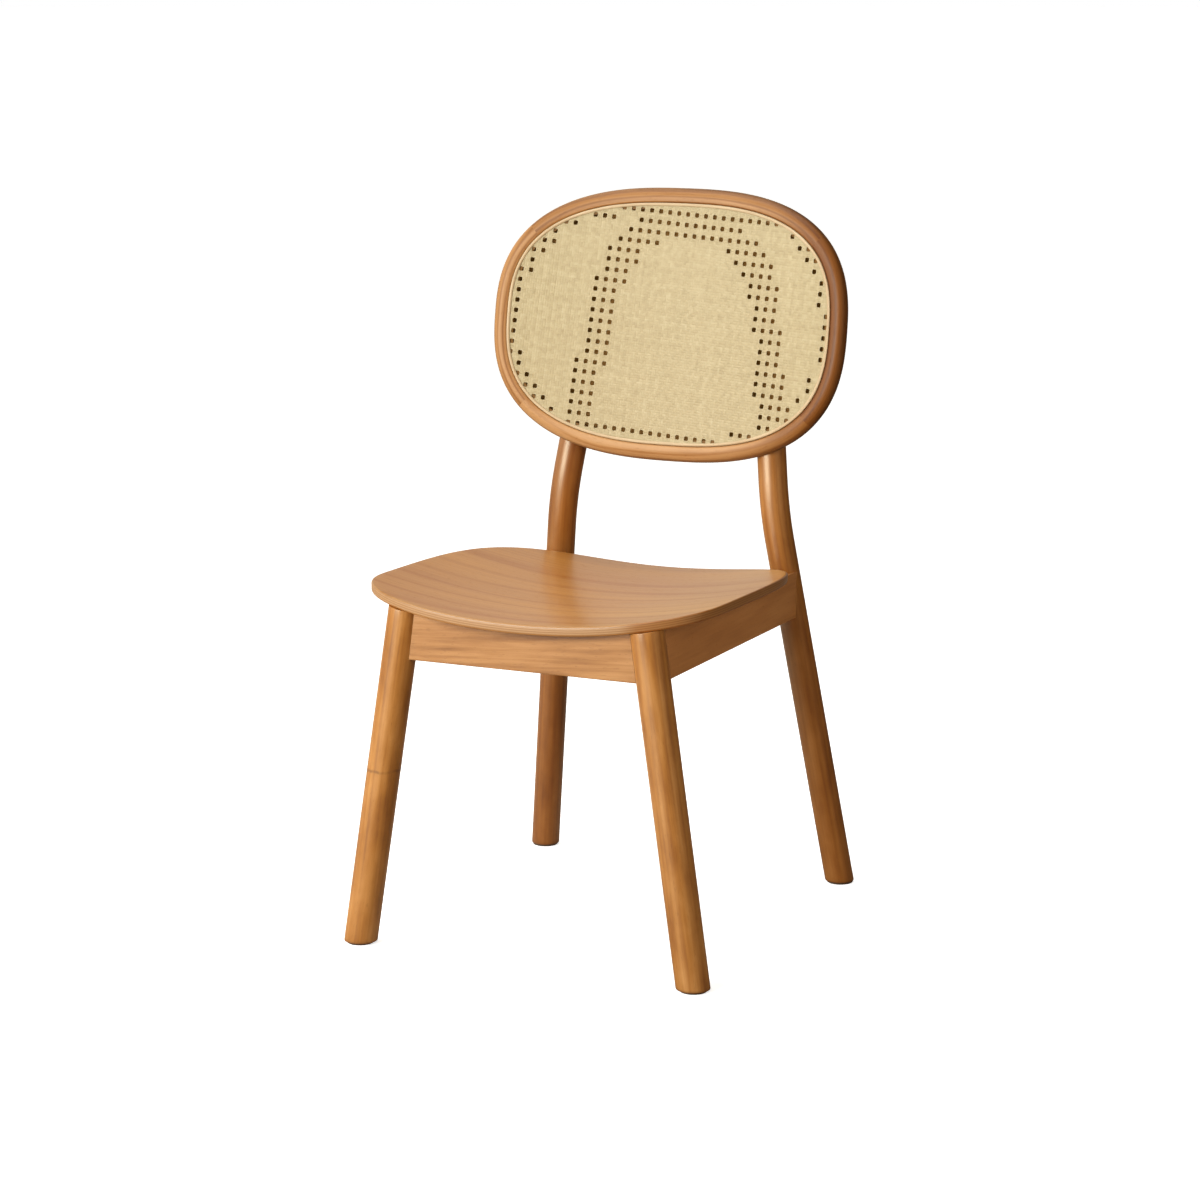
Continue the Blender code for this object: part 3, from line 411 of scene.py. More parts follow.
front_legs = (("left", -1, SCAR_HEIGHT, HONEY_TONES), ("right", 1, None, FAIR_TONES))
for side_name, side, scar_height, tones in front_legs:
    foot = np.array([side * FRONT_FOOT[0], FRONT_FOOT[1], 0.0])
    head = np.array([side * FRONT_HEAD[0], FRONT_HEAD[1], SEAT_HEIGHT])
    slope = (head - foot) / SEAT_HEIGHT
    line = np.array([foot + slope * FOOT_CUT_HEIGHT, foot + slope * (SEAT_HEIGHT - SEAT_DROP)])
    rings, path, distances, course, grain = leg_rings(line, FRONT_LEG_RADIUS, FRONT_HEAD_ROUND, FRONT_GRID)
    near_head = np.clip(1 - (distances[-1] - distances) / CUT_REACH, 0, 1) ** 2
    for _ in range(CUT_PASSES):
        rise = path[:, 2:3] - path[-1, 2]
        rings = slide_to(rings, course, near_head, seat_top(rings[..., 0], rings[..., 1]) - SEAT_DROP + rise)
    readings = {"grain": grain + FRONT_GRAIN_SHIFT * (side, 1, side)}
    leg = skin("turned_leg_front_" + side_name, rings, readings)
    finish = leg_finish("front_leg_beech_" + side_name, tones, scar_height)
    fit(leg, finish, "honey_beech", "front_leg_" + side_name)


# Rear legs. Two round beech bars, straight and raked below the seat, then steam-bent back to the lean of
# the hoop. Their tops lap behind the lower rail of the hoop and are dowelled and glued to it.

REAR_LEG_RADIUS = 0.0190
REAR_FOOT = np.array([0.2203, 0.2563, 0.0])
REAR_HEAD = np.array([0.1627, 0.1889, SEAT_HEIGHT])
BEND_START_HEIGHT = 0.4700
BEND_RADIUS = 0.266
UPRIGHT_LAP = 0.0100
UPRIGHT_TOP_ROUND = 0.0030
REAR_GRID = (90, 64)
BEND_STEPS = 40
LAP_PASSES = 4
REAR_GRAIN_SHIFT = np.array([0.23, 0.57, 1.7])
DEEP_TONES = ((0.180, 0.053, 0.008), (0.262, 0.090, 0.014), (0.350, 0.138, 0.030))
REAR_TONES = ((0.215, 0.067, 0.011), (0.310, 0.115, 0.020), (0.415, 0.176, 0.043))
BELOW_SEAT_SHADE = (0.920, 0.840, 0.740)
HOOP_CENTRE = np.array([0.0, 0.2038, 0.7440])
HOOP_LEAN = math.radians(9.25)
HOOP_HALF_WIDTH = 0.23975
HOOP_HALF_HEIGHT = 0.16855
HOOP_CURVE_POWER = 2.61


def lower_rail_up(across):
    """How far up the leaning hoop its lower rail is: -half height x (1 - share across ^ power) to the
    power of 1 / power."""
    share = min(abs(across) / HOOP_HALF_WIDTH, 1)
    return -HOOP_HALF_HEIGHT * (1 - share ** HOOP_CURVE_POWER) ** (1 / HOOP_CURVE_POWER)


def upright_line(side):
    """Rear leg's line: straight up to the bend, an arc back to the lean, then straight to the lap, whose
    end is stepped up its own course until it stands a lap above the rail's middle line."""
    way = np.array([side, 1.0, 1.0])
    foot, head = REAR_FOOT * way, REAR_HEAD * way
    slope = (head - foot) / SEAT_HEIGHT
    start = foot + slope * BEND_START_HEIGHT
    first_tilt = math.atan(slope[1])
    tilts = np.linspace(first_tilt, HOOP_LEAN, BEND_STEPS)
    rise = BEND_RADIUS * (np.sin(tilts) - math.sin(first_tilt))
    back = BEND_RADIUS * (math.cos(first_tilt) - np.cos(tilts))
    arc = start + np.column_stack([slope[0] * rise, back, rise])
    end = arc[-1].copy()
    up_course = np.array([slope[0], math.tan(HOOP_LEAN), 1.0])
    for _ in range(LAP_PASSES):
        offset = end - HOOP_CENTRE
        up = offset[1] * math.sin(HOOP_LEAN) + offset[2] * math.cos(HOOP_LEAN)
        end = end + up_course * (lower_rail_up(end[0]) + UPRIGHT_LAP - up) * math.cos(HOOP_LEAN)
    return np.vstack([foot + slope * FOOT_CUT_HEIGHT, arc, end])


for side_name, side, tones in (("left", -1, DEEP_TONES), ("right", 1, REAR_TONES)):
    rings, _, _, _, grain = leg_rings(upright_line(side), REAR_LEG_RADIUS, UPRIGHT_TOP_ROUND, REAR_GRID)
    readings = {"grain": grain + REAR_GRAIN_SHIFT * (side, 1, side)}
    leg = skin("bent_leg_rear_" + side_name, rings, readings)
    finish = leg_finish("rear_leg_beech_" + side_name, tones, lower_shade=BELOW_SEAT_SHADE)
    fit(leg, finish, "honey_beech", "rear_leg_" + side_name)


# Aprons. Four flat beech boards, tenoned into the legs under the seat, with the grain along each board.
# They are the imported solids, which have their scribed ends and softened lower edges, with a real finish.

APRON_TONES = ((0.310, 0.130, 0.034), (0.450, 0.208, 0.064), (0.560, 0.282, 0.100))


def refinish(node, finish):
    """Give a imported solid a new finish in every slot."""
    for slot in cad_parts[node].material_slots:
        slot.material = finish.material


def board_grain(finish, turn, shift):
    """Grain of a board in the chair's own metres, turned so that its length becomes the third number."""
    return finish.stretched(finish.place(), (1.0, 1.0, 1.0), shift, turn)


QUARTER = math.pi / 2
FRONT_SLANT = 0.07
# Each board's colour is multiplied by painted light and shade for the way it faces the lamps: deeper on the
# front and rear boards, redder on the side boards.
DEEPER = (0.830, 0.815, 0.780)
REDDER = (1.080, 0.985, 0.970)
boards = (
    ("front_apron", (0.0, QUARTER + FRONT_SLANT, 0.0), (0.40, 0.02, 0.1), 0.08, 0.125, DEEPER),
    ("rear_apron", (0.0, QUARTER, 0.0), (0.83, 0.31, 2.1), 0.08, 0.125, DEEPER),
    ("left_apron", (QUARTER, 0.0, 0.0), (0.11, 0.45, 1.3), 0.04, 0.260, REDDER),
    ("right_apron", (QUARTER, 0.0, 0.0), (0.67, 0.52, 2.9), 0.04, 0.260, REDDER),
)
for node, turn, shift, figure, spread, board_shade in boards:
    finish = Finish(node + "_beech")
    grain = board_grain(finish, turn, shift)
    colour, wood = timber_colour(
        finish, grain, APRON_TONES, PORE_BROWN, ring_width=0.0090, pith=(0.45, 0.10), figure=figure,
        spread=spread, patches=(34.0, 34.0, 7.0), streaks=(210.0, 210.0, 10.0),
    )
    colour = finish.shaded(1.0, colour, board_shade)
    lacquer(finish, colour, wood)
    refinish(node, finish)


# Corner blocks, screws and dowels. Unstained beech triangles glued in the corners of the aprons, held by
# zinc-plated countersunk screws; beech dowels cross the joints of the hoop and hold it to the uprights.

RAW_TONES = ((0.420, 0.265, 0.145), (0.590, 0.410, 0.250), (0.700, 0.520, 0.345))
RAW_PORE = (0.300, 0.170, 0.090)
ZINC_LIGHT = (0.640, 0.640, 0.620)
ZINC_YELLOW = (0.520, 0.500, 0.430)

raw = Finish("unstained_beech")
grain = board_grain(raw, (0.0, 0.0, 0.0), (0.27, 0.64, 0.2))
colour, wood = timber_colour(raw, grain, RAW_TONES, RAW_PORE)
lacquer(raw, colour, wood, roughness=0.66, depth=0.0001, coat=0.0)

zinc = Finish("zinc_plating")
place = zinc.place()
crystals = zinc.noise(place, (900.0,) * 3, detail=3.0)
stains = zinc.noise(place, (220.0,) * 3)
colour = zinc.blend(zinc.between(stains, 0.4, 0.65), ZINC_LIGHT, ZINC_YELLOW)
zinc.surface(colour, 0.30 + crystals * 0.2, crystals, 0.3, 0.00005)
zinc.show({"Metallic": 1.0})

corners = ("front_left", "front_right", "rear_left", "rear_right")
for corner in corners:
    refinish("corner_block_" + corner, raw)
    refinish("apron_screw_" + corner + "_cross", zinc)
    refinish("apron_screw_" + corner + "_side", zinc)
    refinish("seat_screw_" + corner, zinc)
for corner in ("bottom_left", "bottom_right", "top_left", "top_right"):
    refinish("hoop_dowel_" + corner, raw)
for side_name in ("left", "right"):
    refinish("back_dowel_" + side_name, raw)


# Foot glides. Dark brown moulded nylon discs, each with a pin pressed up into its leg, scuffed pale
# where they slide on the floor.

NYLON_DARK = (0.075, 0.045, 0.026)
NYLON_SCUFF = (0.170, 0.130, 0.095)
SCUFF_HEIGHT = 0.0008

nylon = Finish("moulded_nylon")
place = nylon.place()
grit = nylon.noise(place, (1500.0,) * 3)
scratch = nylon.noise(place, (1400.0, 120.0, 400.0), detail=3.0)
height = nylon.component(place, 2)
worn = nylon.between(height, 0.0, SCUFF_HEIGHT, 1.0, 0.0) * nylon.between(scratch, 0.42, 0.62)
colour = nylon.blend(worn * 0.7 + grit * 0.1, NYLON_DARK, NYLON_SCUFF)
nylon.surface(colour, 0.45 + grit * 0.12 + worn * 0.2, grit, 0.3, 0.00008)
for corner in corners:
    refinish("foot_glide_" + corner, nylon)


# Seat. A moulded sheet of beech plywood, dished across, its grain left to right, stained honey and
# lacquered satin; the plies show as thin lines round its softened edge. It is screwed up from below.

SEAT_HALF_WIDTH = 0.2340
SEAT_WIDEST = -0.1585
SEAT_REAR = 0.1668
SEAT_EDGE_ROUND = 0.0025
FRONT_POWER = 3.28
REAR_POWER = 3.69
OVAL_STEPS = 5761
SEAT_STATIONS = 320
SEAT_RINGS = 40
INNERMOST_SHARE = 0.03
PLY_THICKNESS = 0.00134
PLY_SOFTNESS = 0.35
PLIES_FROM = (0.0013, 0.0019)
PLIES_TO = (0.0104, 0.0109)
ARRIS_LEVELS = (0.0098, 0.0110)
SHADED_ACROSS = (0.135, 0.160)
PAINTED_SHEEN_ACROSS = (0.03, 0.19)
SEAT_TONES = ((0.360, 0.118, 0.010), (0.425, 0.174, 0.036), (0.510, 0.228, 0.052))
PLY_END_GRAIN = (0.310, 0.158, 0.066)
PLY_LONG_GRAIN = (0.440, 0.252, 0.120)
ARRIS_TONE = (0.780, 0.880, 1.050)
PAINTED_SHEEN = (1.000, 1.110, 1.350)
SEAT_SHEEN = (1.0, 0.96, 0.86)
EDGE_SHADE = (0.820, 0.660, 0.460)


def power_curve(turns, half_width, half_height, power):
    """Rounded oval: cosine and sine of the turn, each to the power of 2 / power, times a half size."""
    cosine, sine = np.cos(turns), np.sin(turns)
    across = np.sign(cosine) * np.abs(cosine) ** (2 / power) * half_width
    up = np.sign(sine) * np.abs(sine) ** (2 / power) * half_height
    return np.column_stack([across, up])


def evened(points, count):
    """Points spaced evenly along a closed line, the outward unit normal at each, and its way along."""
    wanted = np.linspace(0, way_along(points)[-1], count, endpoint=False)
    line = along_path(points, wanted)
    course = np.roll(line, -1, axis=0) - np.roll(line, 1, axis=0)
    return line, unit(np.column_stack([course[:, 1], -course[:, 0]])), wanted


turns = np.linspace(-math.pi, math.pi, OVAL_STEPS)
front_curve = power_curve(turns, SEAT_HALF_WIDTH, SEAT_WIDEST - SEAT_FRONT, FRONT_POWER)
rear_curve = power_curve(turns, SEAT_HALF_WIDTH, SEAT_REAR - SEAT_WIDEST, REAR_POWER)
outline = np.where(turns[:, None] > 0, rear_curve, front_curve) + np.array([0.0, SEAT_WIDEST])
outline, outward, along = evened(outline, SEAT_STATIONS)

lower_round = SEAT_EDGE_ROUND * (1 - circle(0, math.pi / 2, ARC_STEPS)[:, ::-1])
upper_round = np.column_stack([lower_round[:, 0], SEAT_THICKNESS - lower_round[:, 1]])[::-1]
edge = np.concatenate([lower_round, upper_round])
rings = outline[None] - edge[:, :1, None] * outward[None]
heights = np.broadcast_to(edge[:, 1:], rings.shape[:2])
middle = np.array([0.0, (SEAT_FRONT + SEAT_REAR) / 2])
shares = np.linspace(INNERMOST_SHARE, 1.0, SEAT_RINGS, endpoint=False)[:, None, None]
under = middle + shares * (rings[:1] - middle)
over = (middle + shares * (rings[-1:] - middle))[::-1]
face = np.ones((SEAT_RINGS, len(outline)))
plan = np.concatenate([under, rings, over])
bare_edge = np.concatenate([face * 0, np.ones(heights.shape), face * 0])
heights = np.concatenate([face * 0, heights, face * SEAT_THICKNESS])
x, y = plan[..., 0], plan[..., 1]
surface = np.stack([x, y, seat_top(x, y) - SEAT_THICKNESS + heights], axis=-1)
seat_grain = np.stack([y, heights, x], axis=-1)
ply = np.stack([bare_edge, heights, np.broadcast_to(along[None], heights.shape)], axis=-1)
seat = skin("moulded_seat", surface, {"grain": seat_grain, "ply": ply}, sharp_degrees=50.0)

finish = Finish("seat_ply")
grain = finish.reading("grain")
colour, wood = timber_colour(
    finish, grain, SEAT_TONES, PORE_BROWN, ring_width=0.0280,
    pith=(0.14, -0.30), flecked=0.15, figure=0.17, spread=0.185, sharpness=6.0,
)
parts = finish.reading("ply")
mask = finish.component(parts, 0)
level = finish.component(parts, 1)
waves = (level * (math.pi / PLY_THICKNESS)).sine()
plies = finish.between(waves, -PLY_SOFTNESS, PLY_SOFTNESS)
end_grain = finish.noise(parts, (0.0, 900.0, 420.0), detail=3.0)
lines = finish.blend(plies * 0.8 + end_grain * 0.2, PLY_END_GRAIN, PLY_LONG_GRAIN)
inside_face = finish.between(level, *PLIES_FROM) * finish.between(level, *PLIES_TO, 1.0, 0.0)
edge_share = finish.between(mask, 0.4, 0.6) * inside_face
colour = finish.blend(edge_share, colour, lines)

# The arris highlight is painted duller, and at the right the edge is darkened as painted shade.
rim = finish.between(mask, 0.85, 1.0)
sideways = finish.component(finish.place(), 0)
colour = finish.shaded(rim * finish.between(level, *ARRIS_LEVELS), colour, ARRIS_TONE)
colour = finish.shaded(rim * finish.between(sideways, *SHADED_ACROSS), colour, EDGE_SHADE)
# Painted sheen: the top face is paler towards the right, as if catching a broad reflection.
colour = finish.shaded(finish.between(sideways, *PAINTED_SHEEN_ACROSS) * (1 - rim), colour, PAINTED_SHEEN)
lacquer(finish, colour, wood, depth=0.00004, coat=0.24, sheen=SEAT_SHEEN)
fit(seat, finish, "honey_ply", "seat_panel")


# Hoop. Four curved beech rails glued end to end into a rounded oval that bows round the sitter. Each is
# half round outside, flat inside, with a land for the cane, a groove for the spline and a rebate behind.

HOOP_BOW_RADIUS = 0.994
HOOP_STATIONS = 304
SOLID_STEP = 4
HOOP_JOINT = math.radians(40.0)
JOINT_GAP = 0.00002
ROUND_STEPS = 25
RAIL_FACE = 0.0205
RAIL_DEPTH = 0.0272
RAIL_ARRIS = 0.0025
GROOVE_WIDTH = 0.0040
GROOVE_DEPTH = 0.0060
LAND_WIDTH = 0.0040
LAND_DEPTH = 0.0022
REBATE_DEPTH = 0.0062
RAIL_OUT = RAIL_FACE / 2
RAIL_FRONT = RAIL_DEPTH / 2
GROOVE_INNER = -RAIL_OUT - GROOVE_WIDTH
RAIL_INNER = GROOVE_INNER - LAND_WIDTH
HOOP_TONES = ((0.215, 0.084, 0.020), (0.325, 0.148, 0.046), (0.445, 0.235, 0.094), (0.485, 0.272, 0.113))
RIGHT_SHADE = (0.565, 0.400, 0.195)
FLANK_SHADE = (0.660, 0.640, 0.660)
LAND_PAINTED_SHADE = (0.150, 0.072, 0.018)
UNLIT = (0.0, 0.0, 0.0)
LAND_PAINTED_LIGHT = (0.030, 0.015, 0.003)
HOOP_SHEEN = (1.0, 0.95, 0.80)
SHADED_RIGHT = (0.09, 0.22)
SHADED_FLANK = (0.002, 0.011)
KNOT_PLACE = np.array([-0.2060, -0.1190])
KNOT_REACH = (0.0012, 0.0060)
KNOT_RAGGED = 0.004
KNOT_STAIN = 0.85
KNOT_FRONT = 0.004
STAIN_INSET = (0.0002, 0.0010)
RAIL_GRAIN_SHIFT = np.array([0.41, 0.2, 1.1])


def on_back(across, up, forward):
    """Points of the leaning, bowed back: forward less across squared / (2 x bow radius), then leant."""
    depth = -forward - across * across / (2 * HOOP_BOW_RADIUS)
    y = depth * math.cos(HOOP_LEAN) + up * math.sin(HOOP_LEAN)
    z = up * math.cos(HOOP_LEAN) - depth * math.sin(HOOP_LEAN)
    return np.stack([across, y, z], axis=-1) + HOOP_CENTRE


def swept(line, normals, reach, section):
    """Rings of points where a section of (out, forward) points is carried along a line of the back:
    line + out x normal. Also gives the grain's place: out, forward and the way along."""
    out, forward, along = np.broadcast_arrays(section[:, 0], section[:, 1], reach[:, None])
    spots = line[:, None] + out[..., None] * normals[:, None]
    return on_back(spots[..., 0], spots[..., 1], forward), np.stack([out, forward, along], axis=-1)


half_round = RAIL_FRONT * circle(math.pi / 2, -math.pi / 2, ROUND_STEPS) + (RAIL_OUT - RAIL_FRONT, 0)
arris = RAIL_ARRIS * circle(math.pi, math.pi / 2, ARC_STEPS)
arris += (RAIL_ARRIS - RAIL_OUT, RAIL_FRONT - RAIL_ARRIS)
channels = np.array([
    (GROOVE_INNER, -RAIL_FRONT),
    (GROOVE_INNER, REBATE_DEPTH - RAIL_FRONT),
    (RAIL_INNER, REBATE_DEPTH - RAIL_FRONT),
    (RAIL_INNER, RAIL_FRONT - LAND_DEPTH),
    (GROOVE_INNER, RAIL_FRONT - LAND_DEPTH),
    (GROOVE_INNER, RAIL_FRONT - GROOVE_DEPTH),
    (-RAIL_OUT, RAIL_FRONT - GROOVE_DEPTH),
])
rail_section = np.concatenate([half_round, channels, arris])

hoop_size = (HOOP_HALF_WIDTH, HOOP_HALF_HEIGHT, HOOP_CURVE_POWER)
hoop_line, hoop_normals, hoop_reach = evened(power_curve(turns, *hoop_size), HOOP_STATIONS)
joint_turns = np.array([HOOP_JOINT - math.pi, -HOOP_JOINT, HOOP_JOINT, math.pi - HOOP_JOINT])
joint_places = power_curve(joint_turns, *hoop_size)

# A joint lies at the nearest of the solid rails' own stations.
from_joints = np.linalg.norm(hoop_line[None, ::SOLID_STEP] - joint_places[:, None], axis=2)
joints = from_joints.argmin(axis=1) * SOLID_STEP
for order, rail_name in enumerate(("bottom", "right", "top", "left")):
    first, last = joints[order], joints[(order + 1) % len(joints)]
    run = np.arange(first, last + (0 if last > first else HOOP_STATIONS) + 1) % HOOP_STATIONS
    line, normals = hoop_line[run], hoop_normals[run]
    reach = hoop_reach[1] * np.arange(len(run))
    line[0] += (line[1] - line[0]) * JOINT_GAP / reach[1]
    line[-1] += (line[-2] - line[-1]) * JOINT_GAP / reach[1]
    rings, grain = swept(line, normals, reach, rail_section)
    out, front = grain[..., 0], grain[..., 1]
    from_knot = np.broadcast_to(np.linalg.norm(line - KNOT_PLACE, axis=1)[:, None], out.shape)
    within = (out < -RAIL_OUT - STAIN_INSET[0]) & (front < RAIL_FRONT - STAIN_INSET[1])
    marks = np.stack([within.astype(float), from_knot, front], axis=-1)
    readings = {"grain": grain + RAIL_GRAIN_SHIFT * (order, 1, order), "marks": marks}
    rail = skin("hoop_rail_" + rail_name, rings, readings)
    finish = Finish("hoop_beech_" + rail_name)
    grain = finish.reading("grain")
    tones = HOOP_TONES[1:] if rail_name == "bottom" else HOOP_TONES[:3]
    colour, wood = timber_colour(
        finish, grain, tones, PORE_BROWN, ring_width=0.0075, figure=0.16, spread=0.15,
    )
    parts = finish.reading("marks")
    channel_share = finish.component(parts, 0)
    near_knot = finish.component(parts, 1) + (wood[0] - 0.5) * KNOT_RAGGED
    forward = finish.component(parts, 2)
    knot = finish.between(near_knot, *KNOT_REACH, KNOT_STAIN, 0.0)
    knot = knot * finish.between(forward, -KNOT_FRONT, KNOT_FRONT)
    colour = finish.blend(knot, colour, PORE_BROWN)

    # Painted shade darkens the hoop's right side and its flank. The land and the groove are painted dark as
    # the shade behind the cane, and their faint glow is painted light that stands for the daylight the
    # strands let through to them.
    sideways = finish.component(finish.place(), 0)
    colour = finish.shaded(finish.between(sideways, *SHADED_RIGHT), colour, RIGHT_SHADE)
    colour = finish.shaded(finish.between(forward, *SHADED_FLANK, 1.0, 0.0), colour, FLANK_SHADE)
    colour = finish.blend(channel_share, colour, LAND_PAINTED_SHADE)
    lacquer(finish, colour, wood, roughness=channel_share * 0.42 + 0.50, coat=0.08, gloss=0.30, sheen=HOOP_SHEEN)
    glow = finish.blend(channel_share, UNLIT, LAND_PAINTED_LIGHT)
    finish.show({"Emission Color": glow, "Emission Strength": 1.0})
    fit(rail, finish, "honey_beech", "hoop_" + rail_name)


# Backing panel. A thin plywood sheet, stained dark and let into the hoop from behind, which closes the back
# and makes the eyes of the cane read dark. It is the imported solid with its finish, and its faint glow is
# painted light, an emission that stands for the daylight that the thin strands let through to it.

BACKING_TONES = ((0.250, 0.122, 0.030), (0.345, 0.175, 0.048), (0.430, 0.228, 0.072))
BACKING_PAINTED_LIGHT = (0.034, 0.017, 0.003)

finish = Finish("backing_stain")
grain = board_grain(finish, (0.0, 0.0, 0.0), (0.5, 0.9, 0.3))
colour, wood = timber_colour(
    finish, grain, BACKING_TONES, BACKING_TONES[0], ring_width=0.0110, pith=(0.3, -0.5),
)
lacquer(finish, colour, wood, roughness=0.58, depth=0.00008, coat=0.0, gloss=0.12)
finish.show({"Emission Color": BACKING_PAINTED_LIGHT, "Emission Strength": 1.0})
refinish("backing_panel", finish)


# Cane. Flat split-rattan strands woven by machine into one sheet: a twill under the arch, a basket weave
# round it, and open eyes where strands part in a band along the arch and in a ring inside the hoop. A few
# cells at the steps of the bands stay woven.

PITCH_ACROSS = 0.01291
PITCH_UP = 0.01379
CANE_START = np.array([-0.1224, -0.1098])
CANE_TURN = math.radians(-3.85)
RING_INSET = 0.0136
RING_REACH_ACROSS = 0.0291
RING_REACH_UP = 0.0261
ARCH_CENTRE = 0.0155
ARCH_FOOT_HALF_WIDTH = 0.1571
ARCH_CROWN_HALF_WIDTH = 0.1370
ARCH_CROWN_UP = 0.1497
ARCH_FOOT_UP = -0.1362
ARCH_LEG_BAND = 0.0433
ARCH_CROWN_BAND = 0.0401
ARCH_POWER = 3.285
ARCH_TURN = math.radians(-0.64)
EYE_RADIUS = 0.0034
EYE_REACH = 0.00645
SHUT_CELLS = (
    (-1, 5), (-1, 6), (-1, 7), (-1, 8), (16, 18), (-4, 16), (-2, 17),
    (-2, -1), (20, 18), (24, 2), (25, 3), (26, 5), (26, 6), (26, 12),
)
SQUEEZE_RAMP = 5
CELL_STRANDS = 4
CELL_MIDDLE = (CELL_STRANDS - 1) / 2
CROSSING_STATIONS = np.array([-0.25, 0.25])
STRAND_WIDTH_SHARE = 0.2490
STRAND_THICKNESS = 0.00036
CANE_HALF_THICKNESS = 0.00075
CANE_PLANE = RAIL_FRONT - LAND_DEPTH + FIT_GAP + CANE_HALF_THICKNESS
CROSSING_GAP = 0.00002
CANE_EDGE_INSET = 0.0131
STRAND_GRAIN = np.array([-0.0015, 0.0015, 0.0])
STRAND_GRAIN_SHIFT = 0.37
STRAW_TONES = ((0.325, 0.256, 0.126), (0.405, 0.330, 0.177), (0.470, 0.397, 0.232))
STRAW_SPECK = (0.320, 0.200, 0.080)

AXIS_ACROSS = np.array([math.cos(CANE_TURN), math.sin(CANE_TURN)])
AXIS_UP = np.array([-math.sin(CANE_TURN), math.cos(CANE_TURN)])


def weave_place(column, row):
    """Place in the back's plane of lattice numbers: start + column x pitch across + row x pitch up."""
    across = column[..., None] * PITCH_ACROSS * AXIS_ACROSS
    return CANE_START + across + row[..., None] * PITCH_UP * AXIS_UP


def oval_sum(place, inset_across=0.0, inset_up=0.0):
    """The shares that places have of the hoop's half sizes, less an inset each way, each to the hoop's
    power and added: 1 on the oval, and less inside it."""
    across = np.abs(place[..., 0]) / (HOOP_HALF_WIDTH - inset_across)
    up = np.abs(place[..., 1]) / (HOOP_HALF_HEIGHT - inset_up)
    return across ** HOOP_CURVE_POWER + up ** HOOP_CURVE_POWER


def under_arch(place, leg_inset, crown_inset):
    """Whether places lie under the arch, which leans a little and spreads towards its feet: the shares
    of its half width at that height and of its full height, each to a power, come to 1 at most."""
    across = place[..., 0] * math.cos(ARCH_TURN) + place[..., 1] * math.sin(ARCH_TURN) - ARCH_CENTRE
    height = place[..., 1] * math.cos(ARCH_TURN) - place[..., 0] * math.sin(ARCH_TURN) - ARCH_FOOT_UP
    full = ARCH_CROWN_UP - ARCH_FOOT_UP
    spread = (ARCH_FOOT_HALF_WIDTH - ARCH_CROWN_HALF_WIDTH) * (1 - height / full)
    over = (np.abs(across) / (ARCH_CROWN_HALF_WIDTH - leg_inset + spread)) ** ARCH_POWER
    return (height >= 0) & (over + (np.abs(height) / (full - crown_inset)) ** ARCH_POWER <= 1)


FIRST_COLUMN, LAST_COLUMN = -12, 30
FIRST_ROW, LAST_ROW = -8, 24
all_columns, all_rows = np.arange(FIRST_COLUMN, LAST_COLUMN + 1), np.arange(FIRST_ROW, LAST_ROW + 1)
columns, rows = np.meshgrid(all_columns, all_rows, indexing="ij")
cells = weave_place(columns, rows)
inside = oval_sum(cells, RING_INSET, RING_INSET) <= 1
ringed = oval_sum(cells, RING_REACH_ACROSS, RING_REACH_UP) > 1
twilled = under_arch(cells, ARCH_LEG_BAND, ARCH_CROWN_BAND)
eyes = inside & (ringed | under_arch(cells, 0.0, 0.0) & ~twilled)
for column, row in SHUT_CELLS:
    eyes[column - FIRST_COLUMN, row - FIRST_ROW] = False


def woven(strand, travel):
    """Places of strands at travels along them, both in lattice numbers, and how far each is squeezed
    across and up. Round an eye a point moves straight out from its middle by eye radius x
    (1 - distance / reach), so that the strands bow round a clear disc."""
    near_column, near_row = np.rint(strand), np.rint(travel)
    across = (strand - near_column) * PITCH_ACROSS
    up = (travel - near_row) * PITCH_UP
    distance = np.hypot(across, up)
    eyed = eyes[(near_column - FIRST_COLUMN).astype(int), (near_row - FIRST_ROW).astype(int)]
    inside = eyed * np.clip(1 - distance / EYE_REACH, 0, 1)
    push = EYE_RADIUS * inside / distance
    squeeze = EYE_RADIUS / EYE_REACH * np.minimum(inside * SQUEEZE_RAMP, 1) / distance ** 2
    place = weave_place(strand, travel)
    place = place + (push * across)[..., None] * AXIS_ACROSS + (push * up)[..., None] * AXIS_UP
    return place, squeeze * across ** 2, squeeze * up ** 2


def warp_is_over(warp, weft):
    """Whether an upright strand lies in front where strand numbers cross: twill under the arch, by the
    difference of the numbers, and elsewhere a basket of pairs, by the sum of the pair numbers."""
    twill = np.isin((warp - weft) % 4, (0, 3))
    basket = ((warp + 1) // 2 + (weft + 1) // 2) % 2 == 0
    column, row = warp // CELL_STRANDS - FIRST_COLUMN, weft // CELL_STRANDS - FIRST_ROW
    return np.where(twilled[column, row], twill, basket)


